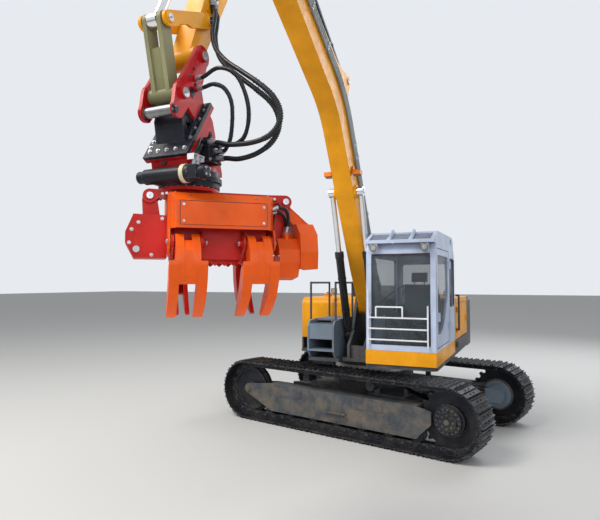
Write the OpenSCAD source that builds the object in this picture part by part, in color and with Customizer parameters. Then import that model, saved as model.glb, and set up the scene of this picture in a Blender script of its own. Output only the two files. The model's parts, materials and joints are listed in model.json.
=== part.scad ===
// Tracked forestry harvester with a grapple saw head on its boom.
// The origin is the slew axis at the belly plate; the machine faces +X, +Z is up.

/* [Crawler tracks] */
// Height of the belly plate above the ground
belly_h = 460; // [430:5:500]
// Overall length of a track
track_len = 4400; // [4200:20:4700]
// Distance between the middles of the two tracks
track_gauge = 2050; // [1950:10:2200]
// Overall height of a track
track_h = 960; // [930:5:980]
// Width of a shoe
shoe_w = 500; // [400:10:600]
// Length of one shoe along the loop
shoe_pitch = 190; // [170:5:230]
// Height of a grouser above its shoe
grouser_h = 28; // [18:1:34]
// Angle of the crawler to the boom, seen from above
crawler_yaw = 77; // [0:1:90]
// Bottom rollers of one track
roller_count = 7; // [5:1:7]

/* [Slewing platform] */
// Height of the platform plate above the ground
deck_z = 1060; // [1040:5:1090]
// Height of the platform's skirts
skirt_h = 190; // [150:5:220]
// Half width of the platform
half_w = 1250; // [1230:5:1280]
// Slew axis to the back of the counterweight
tail_r = 2850; // [2750:10:3000]
// Height of the counterweight's top above the ground
counterweight_top = 1960; // [1850:10:2050]
// Height of the side housings' top above the ground
housing_top = 1985; // [1900:5:2050]
// Height of the engine hood's top above the ground
hood_top = 2180; // [2100:5:2250]
// Sheet thickness of the housings and doors
sheet = 30; // [20:1:36]

/* [Cab] */
// Length of the cab
cab_len = 1750; // [1600:10:1850]
// Distance from the boom's middle to the cab's near side
cab_side = 290; // [285:1:320]
// Height of the cab above the platform
cab_h = 1480; // [1400:10:1560]
// Thickness of the cab's walls and of its door
cab_wall = 42; // [34:1:50]
// Height of the roof guard
guard_h = 175; // [140:5:220]
// Gap round the door
door_gap = 6; // [5:1:10]
// Thickness of the panes
pane_t = 8; // [6:1:12]

/* [Boom and stick] */
// Length of the boom's lower leg, from its foot to the bend
boom_lower = 3300; // [3150:10:3400]
// Length of the boom's upper leg, from the bend to its tip
boom_upper = 2620; // [2500:10:2750]
// Slope of the lower leg as parked
boom_slope = 60; // [56:1:62]
// Angle between the two legs
boom_bend = 31; // [27:1:35]
// Width of the boom
boom_w = 270; // [240:5:290]
// Plate thickness of the boom and stick
boom_plate = 16; // [12:1:22]
// Stick length between its two pins
stick_len = 2250; // [2150:10:2400]
// Slope of the stick as parked, below the level
stick_slope = 64.5; // [60:0.5:70]
// Width of the stick
stick_w = 176; // [150:2:180]

/* [Cylinders] */
// Outer radius of a boom cylinder's barrel
boom_barrel_r = 60; // [54:1:62]
// Radius of a boom cylinder's rod
boom_rod_r = 38; // [34:1:39]
// Outer radius of the stick cylinder's barrel
stick_barrel_r = 74; // [64:1:84]
// Outer radius of the tool cylinder's barrel
tool_barrel_r = 62; // [54:1:68]
// Clearance between a rod and its barrel
rod_gap = 0.5; // [0.3:0.1:1]

/* [Tool carrier] */
// Distance between the two pins of the hitch
hitch_pitch = 430; // [400:5:460]
// Slope of the bolted plates below the level
plate_slope = 57; // [53:1:60]
// Length of the bolted plates along their slope
plate_len = 545; // [500:5:580]
// Width of the bolted plates
plate_w = 400; // [360:5:440]
// Thickness of each of the two bolted plates
plate_t = 28; // [20:1:36]
// Radius of the slew drive's ring
ring_r = 235; // [210:5:260]
// Height of the slew drive's ring
ring_h = 122; // [100:2:140]

/* [Grapple saw head] */
// Turn of the head from the boom, seen from above
head_yaw = 42; // [0:1:60]
// Offset of the head's middle towards its saw
head_shift = 220; // [150:5:260]
// Length of the head's cover
cover_len = 790; // [780:5:810]
// Half depth of the head's cover
cover_half = 350; // [330:5:380]
// Depth of the arms' pins below the slew drive's top
arm_drop = 550; // [530:5:570]
// Half distance between the front and rear arms' pins
arm_pin_x = 265; // [255:5:280]
// Spacing of the arm pairs along the head
arm_pitch = 522; // [510:2:530]
// Thickness of an arm's plate
arm_plate = 58; // [50:1:60]
// Length of the saw bar beyond its pin
saw_reach = 500; // [440:10:510]

/* [Hidden] */
$fn = 48;
seat = 0.3;                 // gap between pieces that rest on each other
turn_gap = 6;               // gap between pieces that turn past each other
yellow = [0.95, 0.66, 0.08];
cab_blue = [0.74, 0.8, 0.88];
slate = [0.25, 0.3, 0.36];
black = [0.09, 0.1, 0.12];
steel = [0.66, 0.68, 0.7];
orange = [0.93, 0.3, 0.1];
red = [0.72, 0.08, 0.08];

// Shared shapes

module upright() translate([0, 0, -belly_h]) children();
module block(x0, x1, y0, y1, z0, z1) translate([x0, y0, z0]) cube([x1 - x0, y1 - y0, z1 - z0]);
// An outline in x and z, made solid from y0 to y1
module slab(y0, y1) translate([0, y1, 0]) rotate([90, 0, 0]) linear_extrude(y1 - y0) children();
module disc_y(x, z, r, y0, y1) translate([x, y1, z]) rotate([90, 0, 0]) cylinder(r = r, h = y1 - y0);
module mirror_y() {
    children();
    mirror([0, 1, 0]) children();
}
// Moves an x-z piece to a pin, turned up by an angle
module at_pin(p, angle = 0) translate([p[0], 0, p[1]]) rotate([0, -angle, 0]) children();
// Rectangle with round corners, from exact arcs
module soft_rect(x0, x1, y0, y1, r) {
    translate([x0 + r, y0]) square([x1 - x0 - 2 * r, y1 - y0]);
    translate([x0, y0 + r]) square([x1 - x0, y1 - y0 - 2 * r]);
    for (x = [x0 + r, x1 - r], y = [y0 + r, y1 - r]) translate([x, y]) circle(r);
}
function polar(a, r) = [r * cos(a), r * sin(a)];
function angle_of(v) = atan2(v[1], v[0]);

// Crawler

shoe_t = 14;
chain_h = 86;
chain_w = 40;
chain_y = 42;
shoe_r = track_h / 2 - shoe_t - grouser_h;
run = track_len - track_h;
loop_len = 2 * run + 2 * PI * shoe_r;
shoe_count = round(loop_len / shoe_pitch);
tread_r = shoe_r - chain_h - seat;
arc_steps = 14;
cheek_y = 110;
cheek_t = 25;
roller_r = 78;
roller_flange = 12;
roller_z = -tread_r + roller_r;
carrier_r = 60;
carrier_x = 560;
// Share of the pitch, and height above the shoe's inner face
shoe_profile = [
    [0.00, shoe_t], [0.05, shoe_t + grouser_h], [0.12, shoe_t],
    [0.40, shoe_t], [0.46, shoe_t + grouser_h], [0.53, shoe_t],
    [0.80, shoe_t], [0.86, shoe_t + grouser_h], [0.93, shoe_t],
    [0.95, shoe_t / 6], [0.98, shoe_t / 6]
];
function loop_point(s, h) =
    let (half = PI * shoe_r)
    s < run ? [s - run / 2, shoe_r + h] :
    s < run + half ? [run / 2, 0] + polar(90 - (s - run) / shoe_r * 180 / PI, shoe_r + h) :
    s < 2 * run + half ? [run / 2 - (s - run - half), -shoe_r - h] :
    [-run / 2, 0] + polar(270 - (s - 2 * run - half) / shoe_r * 180 / PI, shoe_r + h);
function loop_ring(r) = concat(
    [for (k = [0:arc_steps]) [run / 2, 0] + polar(90 - 180 * k / arc_steps, r)],
    [for (k = [0:arc_steps]) [-run / 2, 0] + polar(270 - 180 * k / arc_steps, r)]
);
module crawler() upright() rotate([0, 0, crawler_yaw]) children();
module track_side(side) translate([0, side * track_gauge / 2, track_h / 2]) scale_side(side) children();
module scale_side(side) mirror([0, side < 0 ? 1 : 0, 0]) children();
module both_tracks() {
    track_side(1) children();
    track_side(-1) children();
}

module track_loop() {
    pitch = loop_len / shoe_count;
    slab(-shoe_w / 2, shoe_w / 2) difference() {
        polygon([for (i = [0:shoe_count - 1], p = shoe_profile) loop_point((i + p[0]) * pitch, p[1])]);
        polygon(loop_ring(shoe_r));
    }
    for (y = [-chain_y - chain_w, chain_y]) slab(y, y + chain_w) difference() {
        polygon(loop_ring(shoe_r + 1));
        polygon(loop_ring(shoe_r - chain_h));
    }
}
module left_track() color(black) crawler() track_side(1) track_loop();
module right_track() color(black) crawler() track_side(-1) track_loop();

// The inner side of a track frame is -y before the side is mirrored
web_low = 165;
web_high = 130;
web_front = 430;
web_back = 450;
cheek_end = 232;
cheek_low = 300;
idler_boss = 85;
motor_flange = 240;
module cheek_outline() {
    polygon([
        [-run / 2, -idler_boss], [-run / 2 + web_front + 60, -cheek_low], [run / 2 - web_back, -cheek_low],
        [run / 2 - cheek_end, -idler_boss], [run / 2 - cheek_end, idler_boss],
        [run / 2 - web_back, web_high], [-run / 2 + web_front, web_high], [-run / 2, idler_boss]
    ]);
    translate([-run / 2, 0]) circle(idler_boss);
}
module track_frame_side() {
    slab(cheek_y, cheek_y + cheek_t) cheek_outline();
    slab(-cheek_y - cheek_t, -cheek_y) {
        cheek_outline();
        polygon([[run / 2 - web_back, -140], [run / 2, -180], [run / 2, 180],
            [run / 2 - web_back, web_high]]);
        translate([run / 2, 0]) circle(motor_flange);
    }
    block(-run / 2 + web_front, run / 2 - web_back, -cheek_y - 1, cheek_y + 1, -web_low, web_high);
    mirror_y() disc_y(-run / 2, 0, 60, cheek_y, cheek_y + cheek_t + 22);
    carrier_z = tread_r - carrier_r;
    for (x = [-carrier_x, carrier_x]) slab(-cheek_y - cheek_t, -cheek_y) {
        translate([x - 45, web_high - 1]) square([90, carrier_z - web_high + 1]);
        translate([x, carrier_z]) circle(45);
    }
}
module left_track_frame() color(slate) crawler() track_side(1) track_frame_side();
module right_track_frame() color(slate) crawler() track_side(-1) track_frame_side();

sprocket_teeth = 21;
sprocket_tip = shoe_r - 12;
sprocket_root = shoe_r - 62;
sprocket_half = 30;
drive_r = 205;
module drive_sprockets() color(black) crawler() both_tracks() translate([run / 2, 0, 0]) {
    slab(-sprocket_half, sprocket_half) polygon([
        for (i = [0:sprocket_teeth - 1], p = [[-0.3, sprocket_root], [-0.12, sprocket_tip],
            [0.12, sprocket_tip], [0.3, sprocket_root]]) polar((i + p[0]) * 360 / sprocket_teeth, p[1])
    ]);
    disc_y(0, 0, drive_r, -cheek_y + seat, cheek_y);
    disc_y(0, 0, drive_r - 30, cheek_y - 1, shoe_w / 2 - 90);
    disc_y(0, 0, drive_r - 80, cheek_y, shoe_w / 2 - 60);
}
module travel_motors() color([0.45, 0.52, 0.6]) crawler() both_tracks() translate([run / 2, 0, 0]) {
    face = -cheek_y - cheek_t - seat;
    disc_y(0, 0, motor_flange - 25, face - 30, face);
    disc_y(0, 0, 150, face - 190, face - 29);
    block(-110, 110, face - 260, face - 189, -90, 120);
}
module idlers() color(black) crawler() both_tracks() translate([-run / 2, 0, 0]) {
    difference() {
        union() {
            disc_y(0, 0, tread_r * cos(90 / arc_steps) - seat, -82, 82);
            disc_y(0, 0, tread_r + 42, -36, 36);
        }
        mirror_y() rotate([-90, 0, 0]) translate([0, 0, 52]) difference() {
            cylinder(r = tread_r - 42, h = 60);
            cylinder(r = 105, h = 60);
        }
    }
    disc_y(0, 0, 52, -cheek_y + seat, cheek_y - seat);
}
roller_span = run - web_front - web_back - 10;
module track_rollers() color([0.16, 0.17, 0.19]) crawler() both_tracks() {
    for (i = [0:roller_count - 1]) {
        x = -run / 2 + web_front + 5 + roller_span * i / (roller_count - 1);
        disc_y(x, roller_z, roller_r, -88, 88);
        disc_y(x, roller_z, roller_r + roller_flange, -36, 36);
        disc_y(x, roller_z, 30, -cheek_y + seat, cheek_y - seat);
    }
    for (x = [-carrier_x, carrier_x]) {
        disc_y(x, tread_r - carrier_r, carrier_r, -86, 86);
        disc_y(x, tread_r - carrier_r, 26, -cheek_y + seat, 92);
    }
}

belly_t = 16;
belly_bore = 150;
swivel_bore = 300;
body_top = 870;
ring_outer = 620;
tow_bore = 34;
tow_z = 500;
tow_t = 40;
leg_low = 480;
leg_high = 640;
module centre_frame() color(slate) crawler() {
    leg_y = track_gauge / 2 - cheek_y - cheek_t - seat;
    difference() {
        union() {
            for (a = [0, 1], b = [0, 1]) mirror([a, 0, 0]) mirror([0, b, 0])
                translate([0, 0, leg_low]) linear_extrude(leg_high - leg_low)
                    polygon([[-5, -5], [640, -5], [640, 200], [980, leg_y], [420, leg_y], [170, 520],
                        [-5, 560]]);
            translate([0, 0, belly_h]) linear_extrude(760 - belly_h)
                polygon([for (k = [0:7]) polar(22.5 + 45 * k, 690)]);
            translate([0, 0, 700]) cylinder(r = ring_outer + 20, h = body_top - 700, $fn = 72);
            for (a = [0, 1]) mirror([a, 0, 0]) translate([0, 0, tow_z]) linear_extrude(tow_t) difference() {
                union() {
                    translate([600, -75]) square([160, 150]);
                    translate([760, 0]) circle(75);
                }
                translate([760, 0]) circle(tow_bore);
            }
        }
        translate([0, 0, belly_h + belly_t]) cylinder(r = swivel_bore, h = body_top);
        translate([0, 0, belly_h - 1]) cylinder(r = belly_bore, h = belly_t + 2);
    }
}
module slew_ring() color(steel) upright() difference() {
    translate([0, 0, body_top + seat]) cylinder(r = ring_outer, h = 90, $fn = 72);
    translate([0, 0, body_top]) cylinder(r = ring_outer - 130, h = 100, $fn = 72);
}

// Platform

race_z = body_top + 90 + 2 * seat;
deck_t = 50;
deck_top = deck_z + skirt_h + 50;
cab_x1 = 1350;
cab_x0 = cab_x1 - cab_len;
cab_y0 = cab_side;
cab_y1 = half_w;
tower_y = 158;
tower_t = 42;
foot = [200, 1880];
cyl_foot = [640, 1430];
tower_x1 = 535;
cyl_lug_t = 40;
housing_x0 = -2000;
housing_x1 = cab_x0 - 60;
hood_y0 = -640;
hood_y1 = 300;
steps_x1 = 1090;
steps_y0 = -720;
steps_y1 = -290;
tank_x1 = 90;
deck_outline = [
    [-2050, -half_w], [tank_x1 + 20, -half_w], [tank_x1 + 20, steps_y0], [steps_x1 - 60, steps_y0],
    [steps_x1 - 60, -230], [900, -230], [900, cab_y0 - 30], [cab_x1 - 90, cab_y0 - 30],
    [cab_x1 - 30, cab_y0 + 60], [cab_x1 - 30, half_w - 60], [cab_x1 - 90, half_w], [-2050, half_w]
];
tower_outline = [
    [-980, deck_z + 40], [-980, deck_top - 40], [-500, 1560], [60, 2000], [200, 2060], [330, 2000],
    [430, 1760], [tower_x1, 1500], [tower_x1, deck_z + 40]
];
lug_outline = [
    [tower_x1 - 60, deck_z + 40], [tower_x1 - 60, 1440], cyl_foot + [-60, 40], cyl_foot + [60, 40],
    [900, 1300], [900, deck_z + 40]
];
module slewing_platform() color(slate) upright() {
    difference() {
        union() {
            translate([0, 0, race_z]) cylinder(r = ring_outer - 15, h = deck_z - race_z + 5, $fn = 72);
            translate([0, 0, deck_z]) linear_extrude(deck_t) polygon(deck_outline);
        }
        translate([0, 0, race_z - 1]) cylinder(r = swivel_bore, h = 200);
    }
    mirror_y() difference() {
        slab(tower_y, tower_y + tower_t) polygon(tower_outline);
        slab(0, 400) translate([-300, 1350]) circle(90);
    }
    // skirts stand on the plate's edge, open where the cab sill and the steps are
    for (y = [-half_w, half_w - 24])
        block(-2050, y < 0 ? tank_x1 : housing_x1, y, y + 24, deck_z + 49, deck_top);
    block(-2050, -2020, -half_w, half_w, deck_z + 49, deck_top);
    // the foot pin with its caps, and the boom cylinders' pins
    mirror_y() {
        disc_y(foot[0], foot[1], 78, tower_y + tower_t - 1, tower_y + tower_t + 14);
        disc_y(foot[0], foot[1], 105, tower_y + 1, tower_y + tower_t + 6);
        slab(cyl_lug_y - cyl_lug_t, cyl_lug_y) {
            polygon(lug_outline);
            translate(cyl_foot) circle(72);
        }
        disc_y(cyl_foot[0], cyl_foot[1], 60, cyl_lug_y - 1, boom_boss);
        disc_y(cyl_foot[0], cyl_foot[1], cyl_pin, boom_boss - 1, boom_cyl_y + cyl_eye_half + 8);
    }
    disc_y(foot[0], foot[1], pin_r, -tower_y - 5, tower_y + 5);
    // cross tubes tie the towers
    block(-900, -860, -tower_y - 2, tower_y + 2, deck_z + 49, deck_top + 60);
    block(800, 840, -cyl_lug_y + 2, cyl_lug_y - 2, deck_z + 49, 1290);
}
pin_r = 44;
cyl_pin = 34;
cyl_eye_half = 40;
boom_cyl_y = cab_y0 - 8 - boom_barrel_r - 8;
boom_boss = boom_cyl_y - cyl_eye_half - turn_gap;
cyl_lug_y = boom_cyl_y - boom_barrel_r - turn_gap;

cw_x1 = -2050 - seat;
cw_low = deck_z - 20;
lift_bore = 30;
module counterweight_outline(inset) {
    intersection() {
        translate([cw_x1 - 2000, -half_w + inset]) square([2000, 2 * (half_w - inset)]);
        translate([0, 0]) circle(tail_r - inset, $fn = 96);
    }
}
module counterweight() color(slate) upright() {
    translate([0, 0, cw_low]) linear_extrude(counterweight_top - cw_low - 60) counterweight_outline(0);
    translate([0, 0, counterweight_top - 61]) linear_extrude(61) counterweight_outline(40);
    for (y = [-800, 800]) slab(y - 16, y + 16) difference() {
        union() {
            translate([-2330, counterweight_top - 2]) square([120, 60]);
            translate([-2270, counterweight_top + 58]) circle(60);
        }
        translate([-2270, counterweight_top + 58]) circle(lift_bore);
    }
}
module engine_block() color([0.3, 0.32, 0.34]) upright() {
    block(-1900, -1250, -560, 250, deck_z + deck_t + seat, hood_top - 160);
    block(-1240, -1000, -300, 200, deck_z + deck_t + seat, 1600);
    block(-1251, -1239, -200, 100, 1200, 1500);
}

// Slots as x-z cuts through a side wall
module soft_slot(x0, x1, z, h) {
    translate([x0 + h / 2, z]) circle(h / 2);
    translate([x1 - h / 2, z]) circle(h / 2);
    translate([x0 + h / 2, z - h / 2]) square([x1 - x0 - h, h]);
}
door_x0 = housing_x0 + 120;
door_x1 = housing_x1 - 120;
door_z0 = deck_top + 50;
door_z1 = housing_top - 90;
// A side housing along y0..y1, open at its outer side for the door
module side_housing(x0, x1, y0, y1) difference() {
    slab(y0, y1) {
        translate([x0, deck_top + seat]) square([x1 - x0, housing_top - deck_top - 60]);
        translate([x0 + 60, deck_top + 60]) square([x1 - x0 - 120, housing_top - deck_top - 60]);
        translate([x0 + 60, housing_top - 60]) circle(60);
        translate([x1 - 60, housing_top - 60]) circle(60);
    }
    slab(y0 + sheet, y1 - sheet) translate([x0 + sheet, deck_top - 20])
        square([x1 - x0 - 2 * sheet, housing_top - deck_top + 20 - sheet]);
}
module left_housing() color(yellow) upright() difference() {
    side_housing(housing_x0, housing_x1, hood_y1 + 6, half_w);
    slab(half_w - sheet - 1, half_w + 1) soft_rect(door_x0, door_x1, door_z0, door_z1, 40);
}
right_door_x1 = -880;
module right_housing() color(yellow) upright() difference() {
    side_housing(housing_x0, right_door_x1 + 80, -half_w, hood_y0 - 6);
    slab(-half_w - 1, -half_w + sheet + 1) soft_rect(door_x0, right_door_x1, door_z0, door_z1, 40);
}
module fuel_tank() color(yellow) upright() {
    x0 = right_door_x1 + 86;
    slab(-half_w, -tower_y - tower_t - 60) {
        translate([x0, deck_top + seat]) square([tank_x1 - x0, housing_top - deck_top - 120]);
        translate([x0 + 120, deck_top + 100]) square([tank_x1 - x0 - 240, housing_top - deck_top - 100]);
        translate([x0 + 120, housing_top - 120]) circle(120);
        translate([tank_x1 - 120, housing_top - 120]) circle(120);
    }
    translate([x0 + 300, -half_w + 260, housing_top - 1]) cylinder(r = 70, h = 46);
    translate([x0 + 300, -half_w + 260, housing_top + 44]) cylinder(r = 82, h = 22, $fn = 12);
}
// Steps up to the tank: two treads in side frames
module front_steps() color(slate) upright() {
    for (y = [steps_y0, steps_y1 - 26]) slab(y, y + 26) polygon([
        [tank_x1 + 40, deck_z + deck_t + seat], [steps_x1 - 80, deck_z + deck_t + seat],
        [steps_x1, deck_z + 150],
        [steps_x1, deck_z + 520], [steps_x1 - 60, deck_z + 600], [steps_x1 - 300, deck_z + 620],
        [tank_x1 + 40, deck_z + 620]
    ]);
    difference() {
        block(steps_x1 - 330, steps_x1 - 12, steps_y0 + 25, steps_y1 - 25, deck_z + 330, deck_z + 560);
        for (k = [0:3]) block(steps_x1 - 300, steps_x1 - 60, steps_y0 + 60, steps_y1 - 60, deck_z + 545,
            deck_z + 570);
    }
    block(steps_x1 - 250, steps_x1, steps_y0 + 25, steps_y1 - 25, deck_z + 150, deck_z + 180);
    block(tank_x1 + 40, steps_x1 - 329, steps_y0 + 25, steps_y1 - 25, deck_z + 590, deck_z + 620);
}

// Cab

cab_z0 = deck_top + 10;
cab_z1 = deck_top + cab_h;
door_rear = 175;
door_front = cab_x1 - 62;
door_low = cab_z0 + cab_wall + 4;
door_high = cab_z1 - 70;
hinge_y = cab_y1 + 14;
glass_inset = (cab_wall - pane_t) / 2;
window_r = 60;
module cab_sill() color(yellow) upright() {
    slab(cab_y0 - 10, cab_y0 + 16) polygon(sill_side());
    slab(cab_y1 - 26, cab_y1) polygon(sill_side());
    block(cab_x1 - 28, cab_x1 - 2, cab_y0 - 10, cab_y1, deck_z + 56, cab_z0 - seat);
    block(cab_x0, cab_x1 - 27, cab_y0 + 15, cab_y1 - 25, deck_z + skirt_h, cab_z0 - seat);
}
function sill_side() = [
    [cab_x0 - 30, deck_z + deck_t + seat], [cab_x1 - 60, deck_z + deck_t + seat], [cab_x1 - 2, deck_z + 75],
    [cab_x1 - 2, cab_z0 - seat], [cab_x0 - 30, cab_z0 - seat]
];
module cab_outline(inset) {
    polygon([
        [cab_x0 + inset, cab_z0 + inset], [cab_x1 - inset, cab_z0 + inset], [cab_x1 - inset, cab_z0 + 500],
        [cab_x1 - 20 - inset, cab_z1 - 90], [cab_x1 - 60 - inset, cab_z1 - inset],
        [cab_x0 + 160, cab_z1 - inset], [cab_x0 + 60 + inset * 0.6, cab_z1 - 50 - inset * 0.6],
        [cab_x0 + inset, cab_z1 - 200]
    ]);
}
front_z0 = cab_z0 + 90;
front_z1 = cab_z1 - 150;
pillar_w = 72;
// Window openings seen along y: the x range, the z range
rear_side_window = [cab_x0 + 90, 110, cab_z0 + 560, cab_z1 - 170];
right_window = [cab_x0 + 110, cab_x1 - 90, cab_z0 + 420, cab_z1 - 170];
rear_window = [cab_y0 + 110, cab_y1 - 110, cab_z0 + 620, cab_z1 - 230];
module side_window(w, y0, y1) slab(y0, y1) soft_rect(w[0], w[1], w[2], w[3], window_r);
module end_window(y0, y1, z0, z1, x0, x1, r)
    translate([x0, 0, 0]) rotate([90, 0, 90]) linear_extrude(x1 - x0) soft_rect(y0, y1, z0, z1, r);
hatch = [cab_x0 + 420, cab_x1 - 420, cab_y0 + 190, cab_y1 - 190];
module cab_shell() color(cab_blue) upright() difference() {
    slab(cab_y0, cab_y1) cab_outline(0);
    slab(cab_y0 + cab_wall, cab_y1 - cab_wall) cab_outline(cab_wall);
    slab(cab_y1 - cab_wall - 1, cab_y1 + 1) soft_rect(door_rear, door_front, door_low, door_high, 70);
    side_window(rear_side_window, cab_y1 - cab_wall - 1, cab_y1 + 1);
    side_window(right_window, cab_y0 - 1, cab_y0 + cab_wall + 1);
    end_window(rear_window[0], rear_window[1], rear_window[2], rear_window[3], cab_x0 - 1,
        cab_x0 + cab_wall + 1, window_r);
    end_window(cab_y0 + pillar_w, cab_y1 - pillar_w, front_z0, front_z1, cab_x1 - cab_wall - 60, cab_x1 + 1,
        30);
    translate([0, 0, cab_z1 - cab_wall - 1]) linear_extrude(cab_wall + 2)
        soft_rect(hatch[0], hatch[1], hatch[2], hatch[3], 50);
}
module cab_glass() color([0.35, 0.45, 0.5, 0.6]) upright() {
    s = seat;
    slab(cab_y1 - glass_inset - pane_t, cab_y1 - glass_inset)
        soft_rect(rear_side_window[0] + s, rear_side_window[1] - s, rear_side_window[2] + s,
            rear_side_window[3] - s, window_r);
    slab(cab_y0 + glass_inset, cab_y0 + glass_inset + pane_t)
        soft_rect(right_window[0] + s, right_window[1] - s, right_window[2] + s, right_window[3] - s,
            window_r);
    end_window(rear_window[0] + s, rear_window[1] - s, rear_window[2] + s, rear_window[3] - s,
        cab_x0 + glass_inset, cab_x0 + glass_inset + pane_t, window_r);
    end_window(cab_y0 + pillar_w + s, cab_y1 - pillar_w - s, front_z0 + s, front_z1 - s,
        cab_x1 - cab_wall, cab_x1 - cab_wall + pane_t, 30);
    translate([0, 0, cab_z1 - cab_wall + glass_inset]) linear_extrude(pane_t)
        soft_rect(hatch[0] + s, hatch[1] - s, hatch[2] + s, hatch[3] - s, 50);
}
// Bars before the windscreen: each row is a height above the cab floor and how far it spans
guard_rows = [[150, 1], [300, 1], [450, 1], [598, 0.45]];
bar_r = 11;
module cab_front_guard() color([0.9, 0.92, 0.94]) upright() {
    x = cab_x1 + 34;
    y0 = cab_y0 + 40;
    y1 = cab_y1 - pillar_w - 30;
    for (row = guard_rows) {
        start = row[1] < 1 ? y0 + 110 : y0;
        translate([x, start, cab_z0 + row[0]]) rotate([-90, 0, 0])
            cylinder(r = bar_r, h = (y1 - y0) * row[1]);
    }
    translate([x, y0, cab_z0 + 60]) cylinder(r = bar_r, h = 780);
    translate([x, y1, cab_z0 + 60]) cylinder(r = bar_r, h = 560);
    translate([x, y0 + 110, cab_z0 + 440]) cylinder(r = bar_r, h = 160);
    translate([x, y0 + 110 + (y1 - y0) * 0.45, cab_z0 + 440]) cylinder(r = bar_r, h = 158);
    for (y = [y0, y1], z = [80, 560]) translate([cab_x1 + seat, y, cab_z0 + z]) rotate([0, 90, 0])
        cylinder(r = 9, h = 40);
}
// Guard over the roof: a tray with a sloped front of three openings and two ribs
guard_x1 = cab_x1 + 70;
guard_x0 = cab_x0 + 60;
guard_slope = 330;
module guard_outline(inset, lift) polygon([
    [guard_x0 + inset, cab_z1 + seat + lift], [guard_x1 - inset * 2, cab_z1 + seat + lift],
    [guard_x1 - inset * 2, cab_z1 + 40 - inset],
    [guard_x1 - guard_slope, cab_z1 + guard_h - inset], [guard_x0 + 120, cab_z1 + guard_h - inset],
    [guard_x0 + inset, cab_z1 + guard_h - 60]
]);
module cab_roof_guard() color(cab_blue) upright() {
    y0 = cab_y0 + 8;
    y1 = cab_y1 - 8;
    bay = (y1 - y0 - 4 * 46) / 3;
    difference() {
        slab(y0, y1) guard_outline(0, 0);
        slab(y0 + 22, y1 - 22) guard_outline(22, -30);
        for (k = [0:2]) {
            b0 = y0 + 46 + k * (bay + 46);
            slab(b0, b0 + bay) polygon([
                [guard_x1 - 46, cab_z1 + 20], [guard_x1 - guard_slope + 30, cab_z1 + guard_h - 30],
                [guard_x1 - guard_slope + 30, cab_z1 + guard_h + 50], [guard_x1 + 50, cab_z1 + guard_h + 50],
                [guard_x1 - 10, cab_z1 + 60]
            ]);
        }
        translate([0, 0, cab_z1 + guard_h - 60]) linear_extrude(100)
            soft_rect(hatch[0] - 20, hatch[1] - 120, hatch[2], hatch[3], 40);
        slab(y0 - 1, y1 + 1) soft_rect(guard_x0 + 190, guard_x0 + 330, cab_z1 + 60, cab_z1 + 135, 12);
    }
    for (k = [0, 1]) {
        r0 = y0 + 46 + bay + k * (bay + 46) + 14;
        slab(r0, r0 + 18) polygon([
            [guard_x1 - 40, cab_z1 + 45], [guard_x1 - guard_slope + 60, cab_z1 + guard_h + 34],
            [guard_x1 - guard_slope - 40, cab_z1 + guard_h + 34],
            [guard_x1 - guard_slope - 90, cab_z1 + guard_h - 1],
            [guard_x1 - guard_slope + 10, cab_z1 + guard_h - 8]
        ]);
    }
}
seat_x = 250;
seat_y = (cab_y0 + cab_y1) / 2 - 20;
cab_floor = cab_z0 + cab_wall + seat;
module operator_seat() color(black) upright() translate([seat_x, seat_y, cab_floor]) {
    translate([-150, -160, 0]) cube([330, 320, 230]);
    slab(-255, 255) soft_rect(-230, 290, 229, 360, 50);
    rotate([0, -8, 0]) {
        slab(-240, 240) soft_rect(-250, -120, 340, 900, 55);
        slab(-130, 130) soft_rect(-235, -150, 930, 1090, 36);
        for (y = [-80, 80]) translate([-195, y, 890]) cylinder(r = 9, h = 50);
    }
}
module cab_controls() color([0.14, 0.15, 0.17]) upright() translate([seat_x, seat_y, cab_floor]) {
    for (s = [-1, 1]) translate([0, s * 340, 0]) {
        block(-170, 330, -50, 50, 0, 420);
        translate([260, 0, 419]) cylinder(r = 18, h = 120);
        translate([260, 0, 535]) sphere(r = 34);
    }
    for (s = [-1, 1]) translate([640, s * 90, 0]) {
        rotate([0, -18, 0]) block(-12, 12, -12, 12, 8, 300);
        translate([-92, 0, 284]) sphere(r = 26);
    }
    block(600, 660, -300, 300, 0, 60);
}
// Rails: platform side rail behind the cab door, and rails beside the steps
rail_r = 16;
module handrails() color([0.2, 0.22, 0.25]) upright() {
    x = housing_x1 - 60;
    y = half_w + 50;
    translate([x, y, deck_top + 170]) cylinder(r = rail_r, h = 560);
    for (z = [deck_top + 170, deck_top + 730]) {
        translate([x, y, z]) sphere(r = rail_r + 2);
        translate([x, half_w + seat, z]) rotate([-90, 0, 0]) cylinder(r = rail_r, h = 50 - seat);
    }
    for (s = [steps_y0 + 13, steps_y1 - 13]) {
        for (px = [steps_x1 - 120, tank_x1 + 90]) translate([px, s, deck_z + 620 + seat])
            cylinder(r = rail_r, h = 560);
        translate([tank_x1 + 90, s, deck_z + 1180]) rotate([0, 90, 0])
            cylinder(r = rail_r, h = steps_x1 - tank_x1 - 210);
        for (px = [steps_x1 - 120, tank_x1 + 90]) translate([px, s, deck_z + 1180]) sphere(r = rail_r + 2);
    }
    // walkway edge beside the left housing
    block(housing_x0 + 100, cab_x0 - 40, half_w + seat, half_w + 46, deck_top - 110, deck_top - 20);
}
module exhaust_stack() color([0.2, 0.2, 0.2]) upright()
    translate([-1500, hood_y0 - 145, housing_top + seat]) {
    cylinder(r = 95, h = 40);
    difference() {
        cylinder(r = 62, h = 430);
        translate([0, 0, 60]) cylinder(r = 54, h = 400);
    }
}
lamp_x = cab_x1 + 4;
module lamp_body(w) {
    block(0, 60, -w / 2, w / 2, -w / 2, w / 2);
    translate([59, 0, 0]) rotate([0, 90, 0]) cylinder(r = w * 0.42, h = 10);
}
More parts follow.
